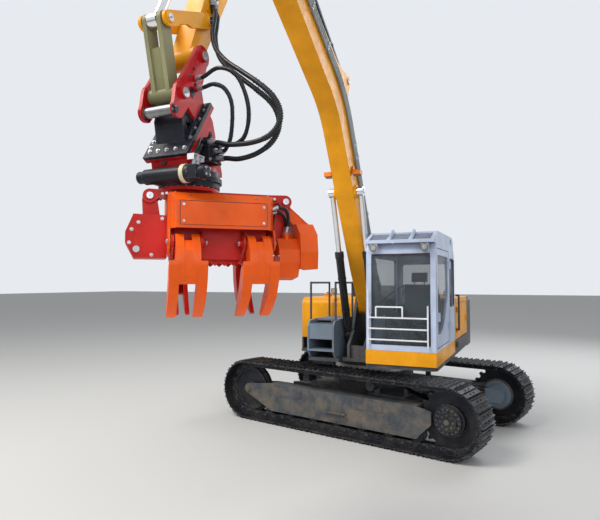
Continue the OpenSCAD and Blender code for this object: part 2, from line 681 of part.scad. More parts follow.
module work_lamps() color([0.85, 0.87, 0.8]) upright() {
    for (y = [cab_y0 + 130, cab_y1 - 130]) translate([lamp_x, y, cab_z1 - 62]) {
        lamp_body(104);
        block(8, 40, -14, 14, 50, 62);
    }
    translate([-1200, -half_w + 120, housing_top + 90]) {
        lamp_body(110);
        block(14, 44, -20, 20, -90 + seat, -50);
    }
}

// Cab door: hinged at its rear edge
module door_outline(inset)
    soft_rect(door_rear + inset, door_front - inset, door_low + inset, door_high - inset, 70 - inset);
door_glass_z = door_low + 430;
module door_window(s) {
    x0 = door_rear + 110;
    x1 = door_front - 100;
    z1 = door_high - 90;
    difference() {
        union() {
            translate([x0 + s, door_glass_z + 420 + s])
                square([x1 - x0 - 2 * s, z1 - door_glass_z - 420 - 2 * s]);
            intersection() {
                translate([x0 + s, door_glass_z - 260]) square([x1 - x0 - 2 * s, 700]);
                translate([x1 - 40, door_glass_z + 640 - s]) circle(x1 - x0 + 20 - 2 * s, $fn = 96);
            }
        }
        translate([x1 - 120, door_low - 60]) circle(170 + s);
    }
}
module cab_door() color(cab_blue) upright() {
    difference() {
        slab(cab_y1 - cab_wall, cab_y1) door_outline(door_gap);
        slab(cab_y1 - cab_wall - 1, cab_y1 + 1) door_window(0);
    }
    for (z = [door_low + 180, door_high - 260]) {
        translate([door_rear, hinge_y, z]) cylinder(r = hinge_y - cab_y1 - seat, h = 110);
        block(door_rear + 6, door_rear + 90, cab_y1 - 2, hinge_y + 6, z, z + 110);
    }
    block(door_front - 90, door_front - 50, cab_y1 - 1, cab_y1 + 34, door_low + 360, door_low + 480);
}
module cab_door_glass() color([0.35, 0.45, 0.5, 0.6]) upright()
    slab(cab_y1 - glass_inset - pane_t, cab_y1 - glass_inset) door_window(seat);

// Service doors with an oval vent, hinged at their front edge
module service_door(x0, x1, y0, vent) difference() {
    slab(y0, y0 + sheet) soft_rect(x0 + door_gap, x1 - door_gap, door_z0 + door_gap, door_z1 - door_gap, 36);
    if (vent) for (k = [-3:3]) slab(y0 - 1, y0 + sheet + 1)
        translate([x1 - 330 + k * 42, (door_z0 + door_z1) / 2]) {
            h = 190 - abs(k) * abs(k) * 9;
            translate([-11, -h]) square([22, 2 * h]);
            for (s = [-h, h]) translate([0, s]) circle(11);
        }
}
hinge_out = 12;
module left_service_door() color(yellow) upright() {
    service_door(door_x0, door_x1, half_w - sheet, true);
    for (z = [door_z0 + 60, door_z1 - 150]) {
        translate([door_x1, half_w + hinge_out, z]) cylinder(r = hinge_out - seat, h = 90);
        block(door_x1 - 70, door_x1 - 5, half_w - 2, half_w + hinge_out, z, z + 90);
    }
    block(door_x0 + 60, door_x0 + 90, half_w - 1, half_w + 24, door_z0 + 180, door_z0 + 300);
}
module right_service_door() color(yellow) upright() {
    service_door(door_x0, right_door_x1, -half_w, true);
    for (z = [door_z0 + 60, door_z1 - 150]) {
        translate([right_door_x1, -half_w - hinge_out, z]) cylinder(r = hinge_out - seat, h = 90);
        block(right_door_x1 - 70, right_door_x1 - 5, -half_w - hinge_out, -half_w + 2, z, z + 90);
    }
    block(door_x0 + 60, door_x0 + 90, -half_w - 24, -half_w + 1, door_z0 + 180, door_z0 + 300);
}
// Engine hood between the housings, hinged along its front edge
hood_x0 = housing_x0 - 30;
hood_x1 = -900;
hood_low = housing_top - 40;
module hood_outline(t) polygon([
    [hood_x0 + t, hood_low - (t > 0 ? 40 : 0)], [hood_x1 - t, hood_low - (t > 0 ? 40 : 0)],
    [hood_x1 - t, hood_top - 90],
    [hood_x1 - 90 - t / 2, hood_top - t], [hood_x0 + 160 + t / 2, hood_top - t], [hood_x0 + t, hood_top - 120]
]);
// Its lips rest on both housings
module engine_hood() color([0.3, 0.34, 0.4]) upright() difference() {
    union() {
        slab(hood_y0 + turn_gap, hood_y1 - turn_gap) hood_outline(0);
        block(hood_x0, hood_x1, hood_y0 - 30, hood_y1 + 30, housing_top + seat, housing_top + 14);
    }
    slab(hood_y0 + turn_gap + sheet, hood_y1 - turn_gap - sheet) hood_outline(sheet);
    for (k = [0:4]) translate([0, 0, hood_top - 60]) linear_extrude(80)
        soft_slot_flat(hood_x0 + 260 + k * 120, hood_y0 + 150, hood_y1 - 150);
}
module soft_slot_flat(x, y0, y1) {
    translate([x - 20, y0]) square([40, y1 - y0]);
    for (y = [y0, y1]) translate([x, y]) circle(20);
}

// Boom: a welded box with a bend; its frame has x along the lower leg

bend = [foot[0] + boom_lower * cos(boom_slope), foot[1] + boom_lower * sin(boom_slope)];
upper_angle = boom_slope - boom_bend;
tip = bend + boom_upper * [cos(upper_angle), sin(upper_angle)];
boom_deep = 225;
tip_half = 130;
foot_half = 150;
rod_eye = [2000, -150];
boom_eye_r = 62;
bend_steps = 8;
bend_r = 1500;
// Half depth along the boom is greatest at the bend
function boom_edge(side, trim) = let (
        tangent = bend_r * tan(boom_bend / 2),
        k = 1 - trim / boom_deep
    ) concat(
        [[0, side * (foot_half - trim)], [700, side * (boom_deep - trim)]],
        [for (i = [0:bend_steps])
            let (a = -boom_bend * i / bend_steps, h = side * (boom_deep + 30 - trim))
            [boom_lower - tangent - (bend_r + h) * sin(a), -bend_r + (bend_r + h) * cos(a)]],
        [for (d = [boom_upper - 900, boom_upper])
            let (h = side * ((d == boom_upper ? tip_half : boom_deep - 20) - trim))
            [boom_lower + d * cos(boom_bend) + h * sin(boom_bend), -d * sin(boom_bend) + h * cos(boom_bend)]]
    );
function reversed(list) = [for (i = [len(list) - 1:-1:0]) list[i]];
module boom_outline(trim) polygon(concat(boom_edge(1, trim), reversed(boom_edge(-1, trim))));
stick_base = bend + 440 * [cos(134), sin(134)];
lug_t = 26;
stick_eye_half = 72;
base_lug = stick_barrel_r + turn_gap + 4;
module boom_lower_frame() at_pin(foot, boom_slope) children();
// Boss positions are in the lower leg's frame
function in_boom(p) = let (d = p - foot) [
    d[0] * cos(boom_slope) + d[1] * sin(boom_slope), -d[0] * sin(boom_slope) + d[1] * cos(boom_slope)
];
tip_local = in_boom(tip);
base_local = in_boom(stick_base);
boom_side = boom_w / 2;
// The tip is a fork: the box ends short of it, and two cheeks run on to the pin
fork_len = 430;
module boom() color(yellow) upright() boom_lower_frame() {
    boom_box();
    disc_y(tip_local[0], tip_local[1], pin_r, -boom_side - 16, boom_side + 16);
    mirror_y() disc_y(tip_local[0], tip_local[1], 70, boom_side - 1, boom_side + 12);
    disc_y(base_local[0], base_local[1], pin_r, -base_lug - lug_t - 12, base_lug + lug_t + 12);
}
module boom_box() difference() {
    union() {
        difference() {
            slab(-boom_side, boom_side) {
                boom_outline(0);
                circle(foot_half);
                translate(tip_local) circle(tip_half);
            }
            slab(-boom_side + boom_plate, boom_side - boom_plate) difference() {
                boom_outline(boom_plate);
                circle(foot_half + 60);
                translate(tip_local) circle(620);
            }
        }
        disc_y(0, 0, foot_half + 4, -tower_y + seat, tower_y - seat);
        disc_y(rod_eye[0], rod_eye[1], boom_eye_r + 30, -boom_boss, boom_boss);
        // lugs for the stick cylinder's foot
        mirror_y() slab(base_lug, base_lug + lug_t) {
            translate(base_local) circle(85);
            polygon([base_local + [-85, 0], base_local + [85, 0], base_local + [330, -330],
                base_local + [-330, -300]]);
        }
    }
    disc_y(0, 0, pin_r + rod_gap, -tower_y - 5, tower_y + 5);
    slab(-stick_fork, stick_fork) translate(tip_local) rotate(-boom_bend)
        translate([-fork_len, -400]) square([fork_len + 400, 800]);
}
stick_hub = 150;
stick_fork = stick_w / 2 + turn_gap;

// Pipes along the boom's left side and lamps at its flanks
pipe_r = 17;
pipe_rows = [40, 88, 136];
module boom_pipes() color([0.5, 0.54, 0.56]) upright() boom_lower_frame() {
    for (v = pipe_rows) translate([520, boom_side + 4 + pipe_r, v]) rotate([0, 90, 0])
        cylinder(r = pipe_r, h = 2100);
    for (x = [640, 1500, 2400]) block(x, x + 60, boom_side + seat, boom_side + 5 + pipe_r, 15, 165);
}
lamp_s = 2290;
module boom_lamps() color(orange) upright() boom_lower_frame() mirror_y()
    translate([lamp_s, boom_side + seat, -120]) {
        block(-20, 70, 0, 26, -30, 30);
        translate([20, 76, -20]) rotate([0, 150, 0]) lamp_body(112);
    }

// Cylinders: a barrel's frame starts at its foot pin and runs to its rod's eye

module barrel(r, bore, length, eye_w, eye_r, pin) difference() {
    union() {
        rotate([0, 90, 0]) difference() {
            union() {
                translate([0, 0, eye_r * 0.6]) cylinder(r = min(r, eye_w) - 3, h = eye_r * 0.6 + 20);
                translate([0, 0, eye_r + 24]) cylinder(r = r, h = length - eye_r - 24);
                translate([0, 0, length - 90]) cylinder(r = r + 7, h = 90);
            }
            translate([0, 0, eye_r + 60]) cylinder(r = bore, h = length);
        }
        disc_y(0, 0, eye_r, -eye_w, eye_w);
    }
    disc_y(0, 0, pin, -r - 1, r + 1);
}
module cylinder_rod(r, start, length, eye_w, eye_r) {
    translate([start, 0, 0]) rotate([0, 90, 0]) cylinder(r = r, h = length - start - eye_r * 0.7);
    disc_y(length, 0, eye_r, -eye_w, eye_w);
}
boom_eye = foot + [
    rod_eye[0] * cos(boom_slope) - rod_eye[1] * sin(boom_slope),
    rod_eye[0] * sin(boom_slope) + rod_eye[1] * cos(boom_slope)
];
boom_cyl = boom_eye - cyl_foot;
boom_barrel_len = 1330;
module boom_barrels() color(black) upright() at_pin(cyl_foot, angle_of(boom_cyl)) mirror_y()
    translate([0, boom_cyl_y, 0]) barrel(boom_barrel_r, boom_rod_r + rod_gap, boom_barrel_len, cyl_eye_half,
        68, cyl_pin + rod_gap);
module boom_rods() color(steel) upright() at_pin(cyl_foot, angle_of(boom_cyl)) mirror_y()
    translate([0, boom_cyl_y, 0]) cylinder_rod(boom_rod_r, 1050, norm(boom_cyl), cyl_eye_half,
        boom_eye_r + 8);

stick_dir = -stick_slope;
stick_tip = tip + stick_len * [cos(stick_dir), sin(stick_dir)];
// Points in the stick's frame: x towards its tip, y to its outer side
lever_eye = [-560, 190];
lever_half = 70;
rocker_pin = [stick_len - 380, 20];
tool_base = [340, 400];
function from_stick(p) = tip + [
    p[0] * cos(stick_dir) - p[1] * sin(stick_dir), p[0] * sin(stick_dir) + p[1] * cos(stick_dir)
];
lever_pos = from_stick(lever_eye);
stick_cyl = lever_pos - stick_base;
stick_barrel_len = 1930;
stick_rod_r = 53;
module stick_barrel() color(black) upright() at_pin(stick_base, angle_of(stick_cyl))
    barrel(stick_barrel_r, stick_rod_r + rod_gap, stick_barrel_len, stick_eye_half, 80, pin_r + rod_gap);
module stick_rod() color(steel) upright() at_pin(stick_base, angle_of(stick_cyl))
    cylinder_rod(stick_rod_r, 1100, norm(stick_cyl), stick_eye_half - turn_gap, 76);

stick_tip_half = 80;
tip_tube_half = 122;
tool_lug = tool_barrel_r + turn_gap - 2;
stick_half = stick_w / 2;
module stick_outline(t) polygon([
    [-150 + t, -130 + t], [120, -170 + t], [400, -165 + t], [stick_len, -stick_tip_half + t],
    [stick_len, stick_tip_half - t], [rocker_pin[0], 110 - t], [700, 190 - t], [330, 260 - t], [0, 250 - t],
    [-150 + t, 180 - t]
]);
module stick() color(yellow) upright() at_pin(tip, stick_dir) {
    difference() {
        union() {
            difference() {
                slab(-stick_half, stick_half) {
                    stick_outline(0);
                    circle(stick_hub);
                    translate([stick_len, 0]) circle(stick_tip_half);
                }
                slab(-stick_half + boom_plate, stick_half - boom_plate) difference() {
                    stick_outline(boom_plate);
                    circle(stick_hub + 80);
                    translate(rocker_pin) circle(90);
                    translate([stick_len, 0]) circle(260);
                }
            }
            disc_y(stick_len, 0, stick_tip_half + 4, -tip_tube_half, tip_tube_half);
        }
        disc_y(0, 0, pin_r + rod_gap, -stick_half - 1, stick_half + 1);
        disc_y(stick_len, 0, pin_r + rod_gap, -tip_tube_half - 1, tip_tube_half + 1);
        disc_y(rocker_pin[0], rocker_pin[1], cyl_pin + rod_gap, -stick_half - 1, stick_half + 1);
    }
    // lever plates for the stick cylinder, and lugs for the tool cylinder
    mirror_y() slab(stick_eye_half, stick_half) {
        polygon([lever_eye + [-20, -lever_half], lever_eye + [20, lever_half], [0, 245], [-100, -125]]);
        translate(lever_eye) circle(lever_half);
    }
    mirror_y() slab(tool_lug, stick_half) {
        polygon([tool_base + [-70, 0], [120, 240], [640, 185], tool_base + [70, 0]]);
        translate(tool_base) circle(70);
    }
    disc_y(tool_base[0], tool_base[1], cyl_pin, -tool_lug - 1, tool_lug + 1);
    // pin ends outside the plates
    for (p = [lever_eye, tool_base]) mirror_y() disc_y(p[0], p[1], 40, stick_half - 1, stick_half + 12);
}

// Tool linkage
rocker_len = 540;
link_len = 520;
hitch_pin = stick_tip + hitch_pitch * [cos(-plate_slope), sin(-plate_slope)];
function in_stick(p) = let (d = p - tip) [
    d[0] * cos(stick_dir) + d[1] * sin(stick_dir), -d[0] * sin(stick_dir) + d[1] * cos(stick_dir)
];
hitch_local = in_stick(hitch_pin);
// The joint of rocker and link is where circles about their other ends meet
reach = norm(hitch_local - rocker_pin);
along = (rocker_len * rocker_len - link_len * link_len + reach * reach) / (2 * reach);
across = sqrt(rocker_len * rocker_len - along * along);
reach_dir = (hitch_local - rocker_pin) / reach;
elbow = rocker_pin + along * reach_dir + across * [-reach_dir[1], reach_dir[0]];
rocker_t = 26;
rocker_in = stick_half + turn_gap;
link_half = 80;
tool_eye_half = 40;
function rot_to(a, b) = angle_of(b - a);
// The rocker's lower edge is hollowed where it passes the stick's tip tube
module rocker() color(yellow) upright() at_pin(tip, stick_dir) {
    mirror_y() slab(rocker_in, rocker_in + rocker_t) translate(rocker_pin) rotate(rot_to(rocker_pin, elbow)) {
        polygon([
            [0, -62], [270, -58], [320, -36], [410, -36], [460, -56], [rocker_len, -55], [rocker_len, 55],
            [0, 62]
        ]);
        circle(62);
        translate([rocker_len, 0]) circle(55);
    }
    mirror_y() disc_y(rocker_pin[0], rocker_pin[1], 40, rocker_in + rocker_t - 1, rocker_in + rocker_t + 14);
    mirror_y() disc_y(elbow[0], elbow[1], 38, rocker_in + rocker_t - 1, rocker_in + rocker_t + 14);
    disc_y(rocker_pin[0], rocker_pin[1], cyl_pin, -rocker_in - 2, rocker_in + 2);
}
module link() color([0.42, 0.42, 0.3]) upright() at_pin(tip, stick_dir)
    translate([elbow[0], 0, elbow[1]]) rotate([0, -rot_to(elbow, hitch_local), 0]) {
        mirror_y() slab(tool_eye_half + turn_gap, link_half) {
            polygon([[0, -58], [link_len, -56], [link_len, 56], [0, 58]]);
            circle(58);
            translate([link_len, 0]) circle(56);
        }
        slab(-tool_eye_half - turn_gap - 1, tool_eye_half + turn_gap + 1) polygon([
            [190, -44], [link_len, -44], [link_len, 44], [190, 44]
        ]);
        disc_y(link_len, 0, 60, -tip_tube_half, tip_tube_half);
        mirror_y() disc_y(0, 0, cyl_pin, link_half - 1, rocker_in - 1);
    }
tool_cyl_local = elbow - tool_base;
tool_barrel_len = 1240;
module tool_cylinder_frame() at_pin(tip, stick_dir) translate([tool_base[0], 0, tool_base[1]])
    rotate([0, -angle_of(tool_cyl_local), 0]) children();
module tool_barrel() color(black) upright() tool_cylinder_frame()
    barrel(tool_barrel_r, tool_rod_r + rod_gap, tool_barrel_len, tool_eye_half + 14, 62, cyl_pin + rod_gap);
tool_rod_r = 40;
module tool_rod() color(steel) upright() tool_cylinder_frame()
    cylinder_rod(tool_rod_r, 600, norm(tool_cyl_local), tool_eye_half, 60);

// Hitch and its wedge. The plate's frame has x down along the plates and z out of them
hitch_rise = 258;
hitch_mid = (stick_tip + hitch_pin) / 2;
plate_dir = [cos(-plate_slope), sin(-plate_slope)];
plate_normal = [sin(plate_slope), cos(plate_slope)];
pin_back = 324;
plate_mid = hitch_mid - hitch_rise * plate_normal + pin_back * plate_dir;
module plate_frame() at_pin(plate_mid, -plate_slope) children();
hitch_in = tip_tube_half + 8;
hitch_t = 28;
a_x = -pin_back - hitch_pitch / 2;
b_x = -pin_back + hitch_pitch / 2;
module quick_hitch() color(red) upright() {
    hitch_frame();
    hose_glands();
}
// The bar between the cheeks, where the hitch hooks on
hook_x = b_x + 141;
hook_z = hitch_rise - 25;
base_h = 96;
module hitch_frame() plate_frame() {
    mirror_y() slab(hitch_in, hitch_in + hitch_t) {
        polygon([
            [-plate_len / 2 + 20, base_h - 40], [-plate_len / 2 + 210, base_h - 40],
            [b_x + 40, hitch_rise - 96],
            [hook_x + 30, hook_z - 62], [hook_x + 50, hook_z + 40], [b_x + 40, hitch_rise + 82],
            [a_x, hitch_rise + 84],
            [a_x - 60, hitch_rise - 60], [-plate_len / 2 - 40, base_h + 30]
        ]);
        translate([a_x, hitch_rise]) circle(84);
        translate([b_x, hitch_rise]) circle(90);
        translate([hook_x, hook_z]) circle(64);
    }
    for (p = [a_x, b_x]) mirror_y()
        disc_y(p, hitch_rise, 46, hitch_in + hitch_t - 1, hitch_in + hitch_t + 24);
    disc_y(a_x, hitch_rise, pin_r, -hitch_in - 1, hitch_in + 1);
    disc_y(hook_x, hook_z, 36, -hitch_in - 2, hitch_in + 2);
    block(-plate_len / 2 + 30, -plate_len / 2 + 60, -hitch_in - 1, hitch_in + 1, base_h - 10, base_h + 50);
}
module hose_glands() translate([drive_x, 0, drive_z]) for (route = hose_routes)
    disc_y(route[0][0], route[0][2], hose_r + 9, hitch_in + hitch_t - 1, route[0][1] - hose_gap);
// Base of the hitch: the upper bolted plate with a tapered box on it
module hitch_base() color(black) upright() plate_frame() {
    translate([0, 0, seat]) block(-plate_len / 2, plate_len / 2, -plate_w / 2, plate_w / 2, 0, plate_t);
    slab(-hitch_in + seat, hitch_in - seat) difference() {
        polygon([
            [-plate_len / 2 + 50, plate_t - 1], [plate_len / 2 - 130, plate_t - 1],
            [hook_x - 10, hook_z - 90],
            [hook_x - 60, hook_z - 76], [-20, base_h + 14], [-plate_len / 2 + 80, base_h - 12]
        ]);
        polygon([[-30, plate_t + 12], [60, plate_t + 12], [10, hook_z - 130]]);
    }
    mirror_y() slab(hitch_in + seat, hitch_in + hitch_t - 2) polygon([
        [-plate_len / 2 + 24, plate_t - 1], [plate_len / 2 - 150, plate_t - 1],
        [b_x + 60, base_h - 40 - seat],
        [-plate_len / 2 + 24, base_h - 40 - seat]
    ]);
}
wedge_inset = 40;
drive_x = plate_mid[0] - 137.3;
drive_z = plate_mid[1] - 294.8;
module wedge_adapter() color(red) upright() {
    plate_frame() block(-plate_len / 2, plate_len / 2, -plate_w / 2, plate_w / 2, -plate_t, 0);
    wedge_y = plate_w / 2 - wedge_inset;
    base_front = plate_mid + (plate_len / 2 - 8) * plate_dir - (plate_t - 1) * plate_normal;
    base_back = plate_mid - (plate_len / 2 - 30) * plate_dir - (plate_t - 1) * plate_normal;
    difference() {
        slab(-wedge_y, wedge_y) polygon([
            base_front, base_back, base_back + [-60, -60], [drive_x - ring_r + 20, drive_z + 34],
            [drive_x - ring_r + 20, drive_z + seat], [base_front[0] - 10, drive_z + seat]
        ]);
        slab(-wedge_y + 30, wedge_y - 30) polygon([
            [drive_x - 110, drive_z + 60], [drive_x + 150, drive_z + 60], [drive_x + 30, drive_z + 300],
            [drive_x - 60, drive_z + 300]
        ]);
        slab(-wedge_y - 1, wedge_y + 1) translate([drive_x + 10, drive_z + 130]) circle(58);
    }
    translate([drive_x, 0, drive_z + seat]) cylinder(r = ring_r - 20, h = 36);
}
worm_x = 285;
module slew_drive() color(black) upright() translate([drive_x, 0, drive_z - ring_h]) difference() {
    union() {
        cylinder(r = ring_r, h = ring_h, $fn = 64);
        translate([0, 0, ring_h * 0.35]) cylinder(r = ring_r + 16, h = ring_h * 0.3, $fn = 64);
        block(ring_r - 90, worm_x, -150, 150, 10, ring_h - 6);
        translate([worm_x, 180, ring_h / 2]) rotate([90, 0, 0]) cylinder(r = 58, h = 360);
        translate([worm_x, 196, ring_h / 2]) rotate([90, 0, 0]) cylinder(r = 66, h = 40);
        translate([worm_x, -180 + 1, ring_h / 2]) rotate([90, 0, 0]) cylinder(r = 46, h = 62);
    }
    translate([0, 0, -1]) cylinder(r = 70, h = ring_h + 2);
    translate([0, 0, -1]) cylinder(r = recess_r, h = recess_h + 1, $fn = 64);
}
// Block that brings the hoses to the swivel, on the hitch's left side
hose_y0 = plate_w / 2 - wedge_inset + seat;
module hose_block() color(black) upright() translate([drive_x, 0, drive_z]) {
    block(-60, 110, hose_y0, hose_y0 + 95, 60, 230);
    for (z = hose_rows) disc_y(20, z, 24, hose_y0 + 94, hose_end - hose_gap);
    translate([60, hose_y0 + 94, 145]) rotate([-90, 0, 0]) cylinder(r = 30, h = 20);
}
hose_rows = [95, 145, 195];
hose_end = 292;
hose_gap = 1.5;

// Head: its frame has x to its front, y along its length towards the saw, and z = 0 at the drive's top
module head() upright() translate([drive_x, 0, drive_z]) rotate([0, 0, head_yaw])
    translate([0, head_shift, 0]) children();
// An outline in y and z, made solid from x0 to x1
module plate_x(x0, x1) translate([x0, 0, 0]) rotate([90, 0, 90]) linear_extrude(x1 - x0) children();
module disc_x(y, z, r, x0, x1) translate([x0, y, z]) rotate([0, 90, 0]) cylinder(r = r, h = x1 - x0);
yoke_top = -ring_h - turn_gap;
recess_r = ring_r - 48;
recess_h = 25;
hang_y = 520;
hang_z = -202;
hang_r = 52;
hang_pin = 30;
yoke_x = 112;
yoke_t = 28;
cover_top = -190;
cover_low = -452;
module head_yoke() color(red) head() {
    translate([0, -head_shift, 0]) {
        translate([0, 0, yoke_top - 26]) cylinder(r = ring_r - 4, h = 26, $fn = 64);
        translate([0, 0, yoke_top - 1])
            cylinder(r = recess_r - seat, h = 1 + turn_gap + recess_h - seat, $fn = 64);
    }
    block(-yoke_x - 1, yoke_x + 1, -hang_y + 60, hang_y - 60, cover_top + 6, yoke_top - 25);
    // side plates with an ear at each end, and the pins through them
    for (x = [-yoke_x - yoke_t, yoke_x]) plate_x(x, x + yoke_t) {
        translate([-hang_y, yoke_top - 50]) square([2 * hang_y, 24]);
        for (s = [-1, 1]) {
            translate([s * hang_y, hang_z]) circle(hang_r);
            polygon([[s * (hang_y - 130), yoke_top - 26], [s * hang_y, hang_z + hang_r],
                [s * (hang_y + hang_r), hang_z],
                [s * (hang_y - 40), hang_z - 34], [s * (cover_len / 2 + 40), cover_top + 6],
                [s * 300, cover_top + 8]]);
        }
    }
    mirror_y() disc_x(hang_y, hang_z, hang_pin, -yoke_x - yoke_t - 16, yoke_x + yoke_t + 16);
}
// Frame: a long box with plates that carry the arms' pins
lug_in = 94;
rear_lug_in = 64;
lug_plate = 20;
pin_half = 138;
cover_t = 14;
arm_pin_z = -arm_drop;
arm_rows = [-arm_pitch / 2, arm_pitch / 2];
frame_low = -670;
frame_half = cover_len / 2 - 46;
end_x = 140;
end_out = 690;
end_pin = [-612, -600];
teeth = 8;
module head_frame() color([0.8, 0.12, 0.06]) head() {
    block(-arm_pin_x + 70, arm_pin_x - 70, -frame_half, frame_half, frame_low, cover_low + 110);
    block(-60, 60, -frame_half + 20, frame_half - 20, cover_low + 109, cover_top - cover_t - seat);
    for (c = arm_rows) translate([0, c, 0]) mirror_y() {
        slab(lug_in, lug_in + lug_plate) lug_side(1);
        slab(rear_lug_in, rear_lug_in + lug_plate) lug_side(-1);
    }
    // toothed edges that bite the log
    tooth = 2 * (frame_half - 60) / teeth;
    for (s = [0, 1]) mirror([s, 0, 0]) plate_x(120, 142) polygon(concat(
        [[-frame_half + 60, frame_low + 20], [frame_half - 60, frame_low + 20]],
        [for (k = [0:teeth - 1]) each [
            [frame_half - 60 - k * tooth, frame_low - 20],
            [frame_half - 60 - (k + 0.5) * tooth, frame_low - 48]]],
        [[-frame_half + 60, frame_low - 20]]
    ));
    for (s = [-1, 1], c = arm_rows) disc_y(s * arm_pin_x, arm_pin_z, 24, c - pin_half, c + pin_half);
    // hangers up to the yoke's pins, at both ends
    mirror_y() for (x = [-yoke_x + 6, yoke_x - 30]) plate_x(x, x + 24) difference() {
        union() {
            polygon([[frame_half - 1, -620], [frame_half - 1, -490], [cover_len / 2 + 30, -466],
                [hang_y - hang_r, hang_z],
                [hang_y + hang_r, hang_z], [hang_y + 40, -440], [hang_y + 30, -610]]);
            translate([hang_y, hang_z]) circle(hang_r);
        }
        translate([hang_y, hang_z]) circle(hang_pin + rod_gap);
    }
    mirror_y() block(-yoke_x + 8, yoke_x - 8, hang_y - 30, hang_y, -600, -450);
    // the end away from the saw: a shallow box with cut corners, open behind
    difference() {
        plate_x(-end_x, end_x) end_outline(0);
        plate_x(-end_x - 1, end_x - 16) end_outline(16);
    }
    disc_x(end_pin[0], end_pin[1], 30, end_x - 20, end_x + 12);
}
// Pin plates on one side of the frame: s is 1 for the front, -1 for the rear
module lug_side(s) {
    polygon([[0, frame_low - 10], [s * 150, frame_low - 20], [s * arm_pin_x, arm_pin_z - 56],
        [s * arm_pin_x, arm_pin_z + 56], [s * 194, cover_low - 4], [s * 176, cover_low + 90],
        [0, cover_low + 90]]);
    translate([s * arm_pin_x, arm_pin_z]) circle(56);
}
module end_outline(t) polygon([
    [-cover_len / 2 - seat, -664 + t], [-630 + t / 2, -664 + t], [-end_out + t, -550],
    [-end_out + t, -474 - t / 2],
    [-634 + t / 2, -340 - t], [-cover_len / 2 - seat, -345 - t]
]);
corner_y = 52;
corner_x = 120;
module head_cover() color(orange) head() {
    half = cover_len / 2;
    difference() {
        slab(-half, half) cover_outline(0);
        slab(-half + cover_t, half - cover_t) cover_outline(cover_t);
        mirror_y() for (s = [-1, 1]) translate([0, 0, cover_low - 1])
            linear_extrude(cover_top - cover_low + 2)
            polygon([[s * (cover_half - corner_x), half + 1], [s * (cover_half + 1), half - corner_y],
                [s * (cover_half + 1), half + 1]]);
    }
    // the cut corners are closed by slanted plates
    for (s = [0, 1]) mirror([s, 0, 0]) mirror_y() corner_plate(half);
    // access panel
    for (s = [0, 1]) mirror([s, 0, 0])
        block(cover_half - 1, cover_half + 6, -half + 80, half - 80, cover_low + 24, cover_low + 190);
    // cheeks that reach down past the outer arm pins
    mirror_y() slab(half - cover_t, half) difference() {
        union() {
            polygon([[120, cover_low + 2], [arm_pin_x + 20, cover_low + 2], [arm_pin_x + 56, arm_pin_z],
                [arm_pin_x, arm_pin_z - 56], [arm_pin_x - 60, arm_pin_z - 108], [150, arm_pin_z - 96]]);
            translate([arm_pin_x, arm_pin_z]) circle(56);
        }
        translate([arm_pin_x, arm_pin_z]) circle(24 + rod_gap);
    }
}
module corner_plate(half) intersection() {
    translate([0, 0, cover_low]) linear_extrude(cover_top - cover_low) polygon([
        [cover_half - corner_x, half - 1], [cover_half, half - corner_y - 1],
        [cover_half, half - corner_y - 22],
        [cover_half - corner_x - 22, half - 22], [cover_half - corner_x - 22, half - 1]
    ]);
    slab(0, half) cover_outline(0);
}
module cover_outline(t) polygon([
    [-cover_half + t, cover_low - t], [-cover_half + t, cover_top - 62],
    [-cover_half + 70 + t / 2, cover_top - t],
    [cover_half - 70 - t / 2, cover_top - t], [cover_half - t, cover_top - 62],
    [cover_half - t, cover_low - t]
]);

// Arms: outlines in x and z about the pin, for a front arm. The upper part fits between the
// frame's plates; the blades below it are set further out
arm_upper = [[-40, 42], [30, 56], [80, 30], [150, -60], [166, -160], [140, -280], [96, -290], [40, -190],
    [-10, -60]];
arm_blade = [
    [112, -150], [166, -140], [168, -170], [146, -280], [74, -404], [-58, -504], [-163, -556],
    [-190, -542], [-110, -440], [-30, -340], [24, -250], [44, -200]
];
front_gap = 28;
blade_in = 64;
blade_out = 134;
module front_arms() color(orange) head() for (c = arm_rows) translate([arm_pin_x, c, arm_pin_z]) {
    mirror_y() slab(front_gap, front_gap + arm_plate) difference() {
        polygon(arm_upper);
        circle(24 + rod_gap);
    }
    mirror_y() slab(blade_in, blade_out) polygon(arm_blade);
    slab(-front_gap - 1, front_gap + 1) polygon([
        [84, 8], [148, -62], [162, -160], [140, -278], [98, -286], [112, -160], [100, -80], [66, -30]
    ]);
    slab(-blade_in - 1, blade_in + 1) polygon([[96, -240], [146, -262], [128, -306], [84, -296]]);
}
rear_gap = 24;
rear_plate = 34;
rear_outline = [
    [-40, 42], [30, 56], [80, 30], [150, -60], [165, -160], [140, -280], [70, -400], [-60, -500],
    [-165, -552],
    [-190, -540], [-110, -440], [-30, -340], [20, -240], [20, -120], [-30, -50]
];
module rear_arms() color([0.6, 0.07, 0.05]) head() for (c = arm_rows)
    translate([-arm_pin_x, c, arm_pin_z]) mirror([1, 0, 0]) {
        mirror_y() slab(rear_gap, rear_gap + rear_plate) difference() {
            polygon(rear_outline);
            circle(24 + rod_gap);
        }
        slab(-rear_gap - 1, rear_gap + 1) polygon([
            [72, 20], [140, -62], [154, -160], [134, -270], [60, -396], [40, -378], [108, -246], [118, -150],
            [100, -80], [66, -30]
        ]);
    }
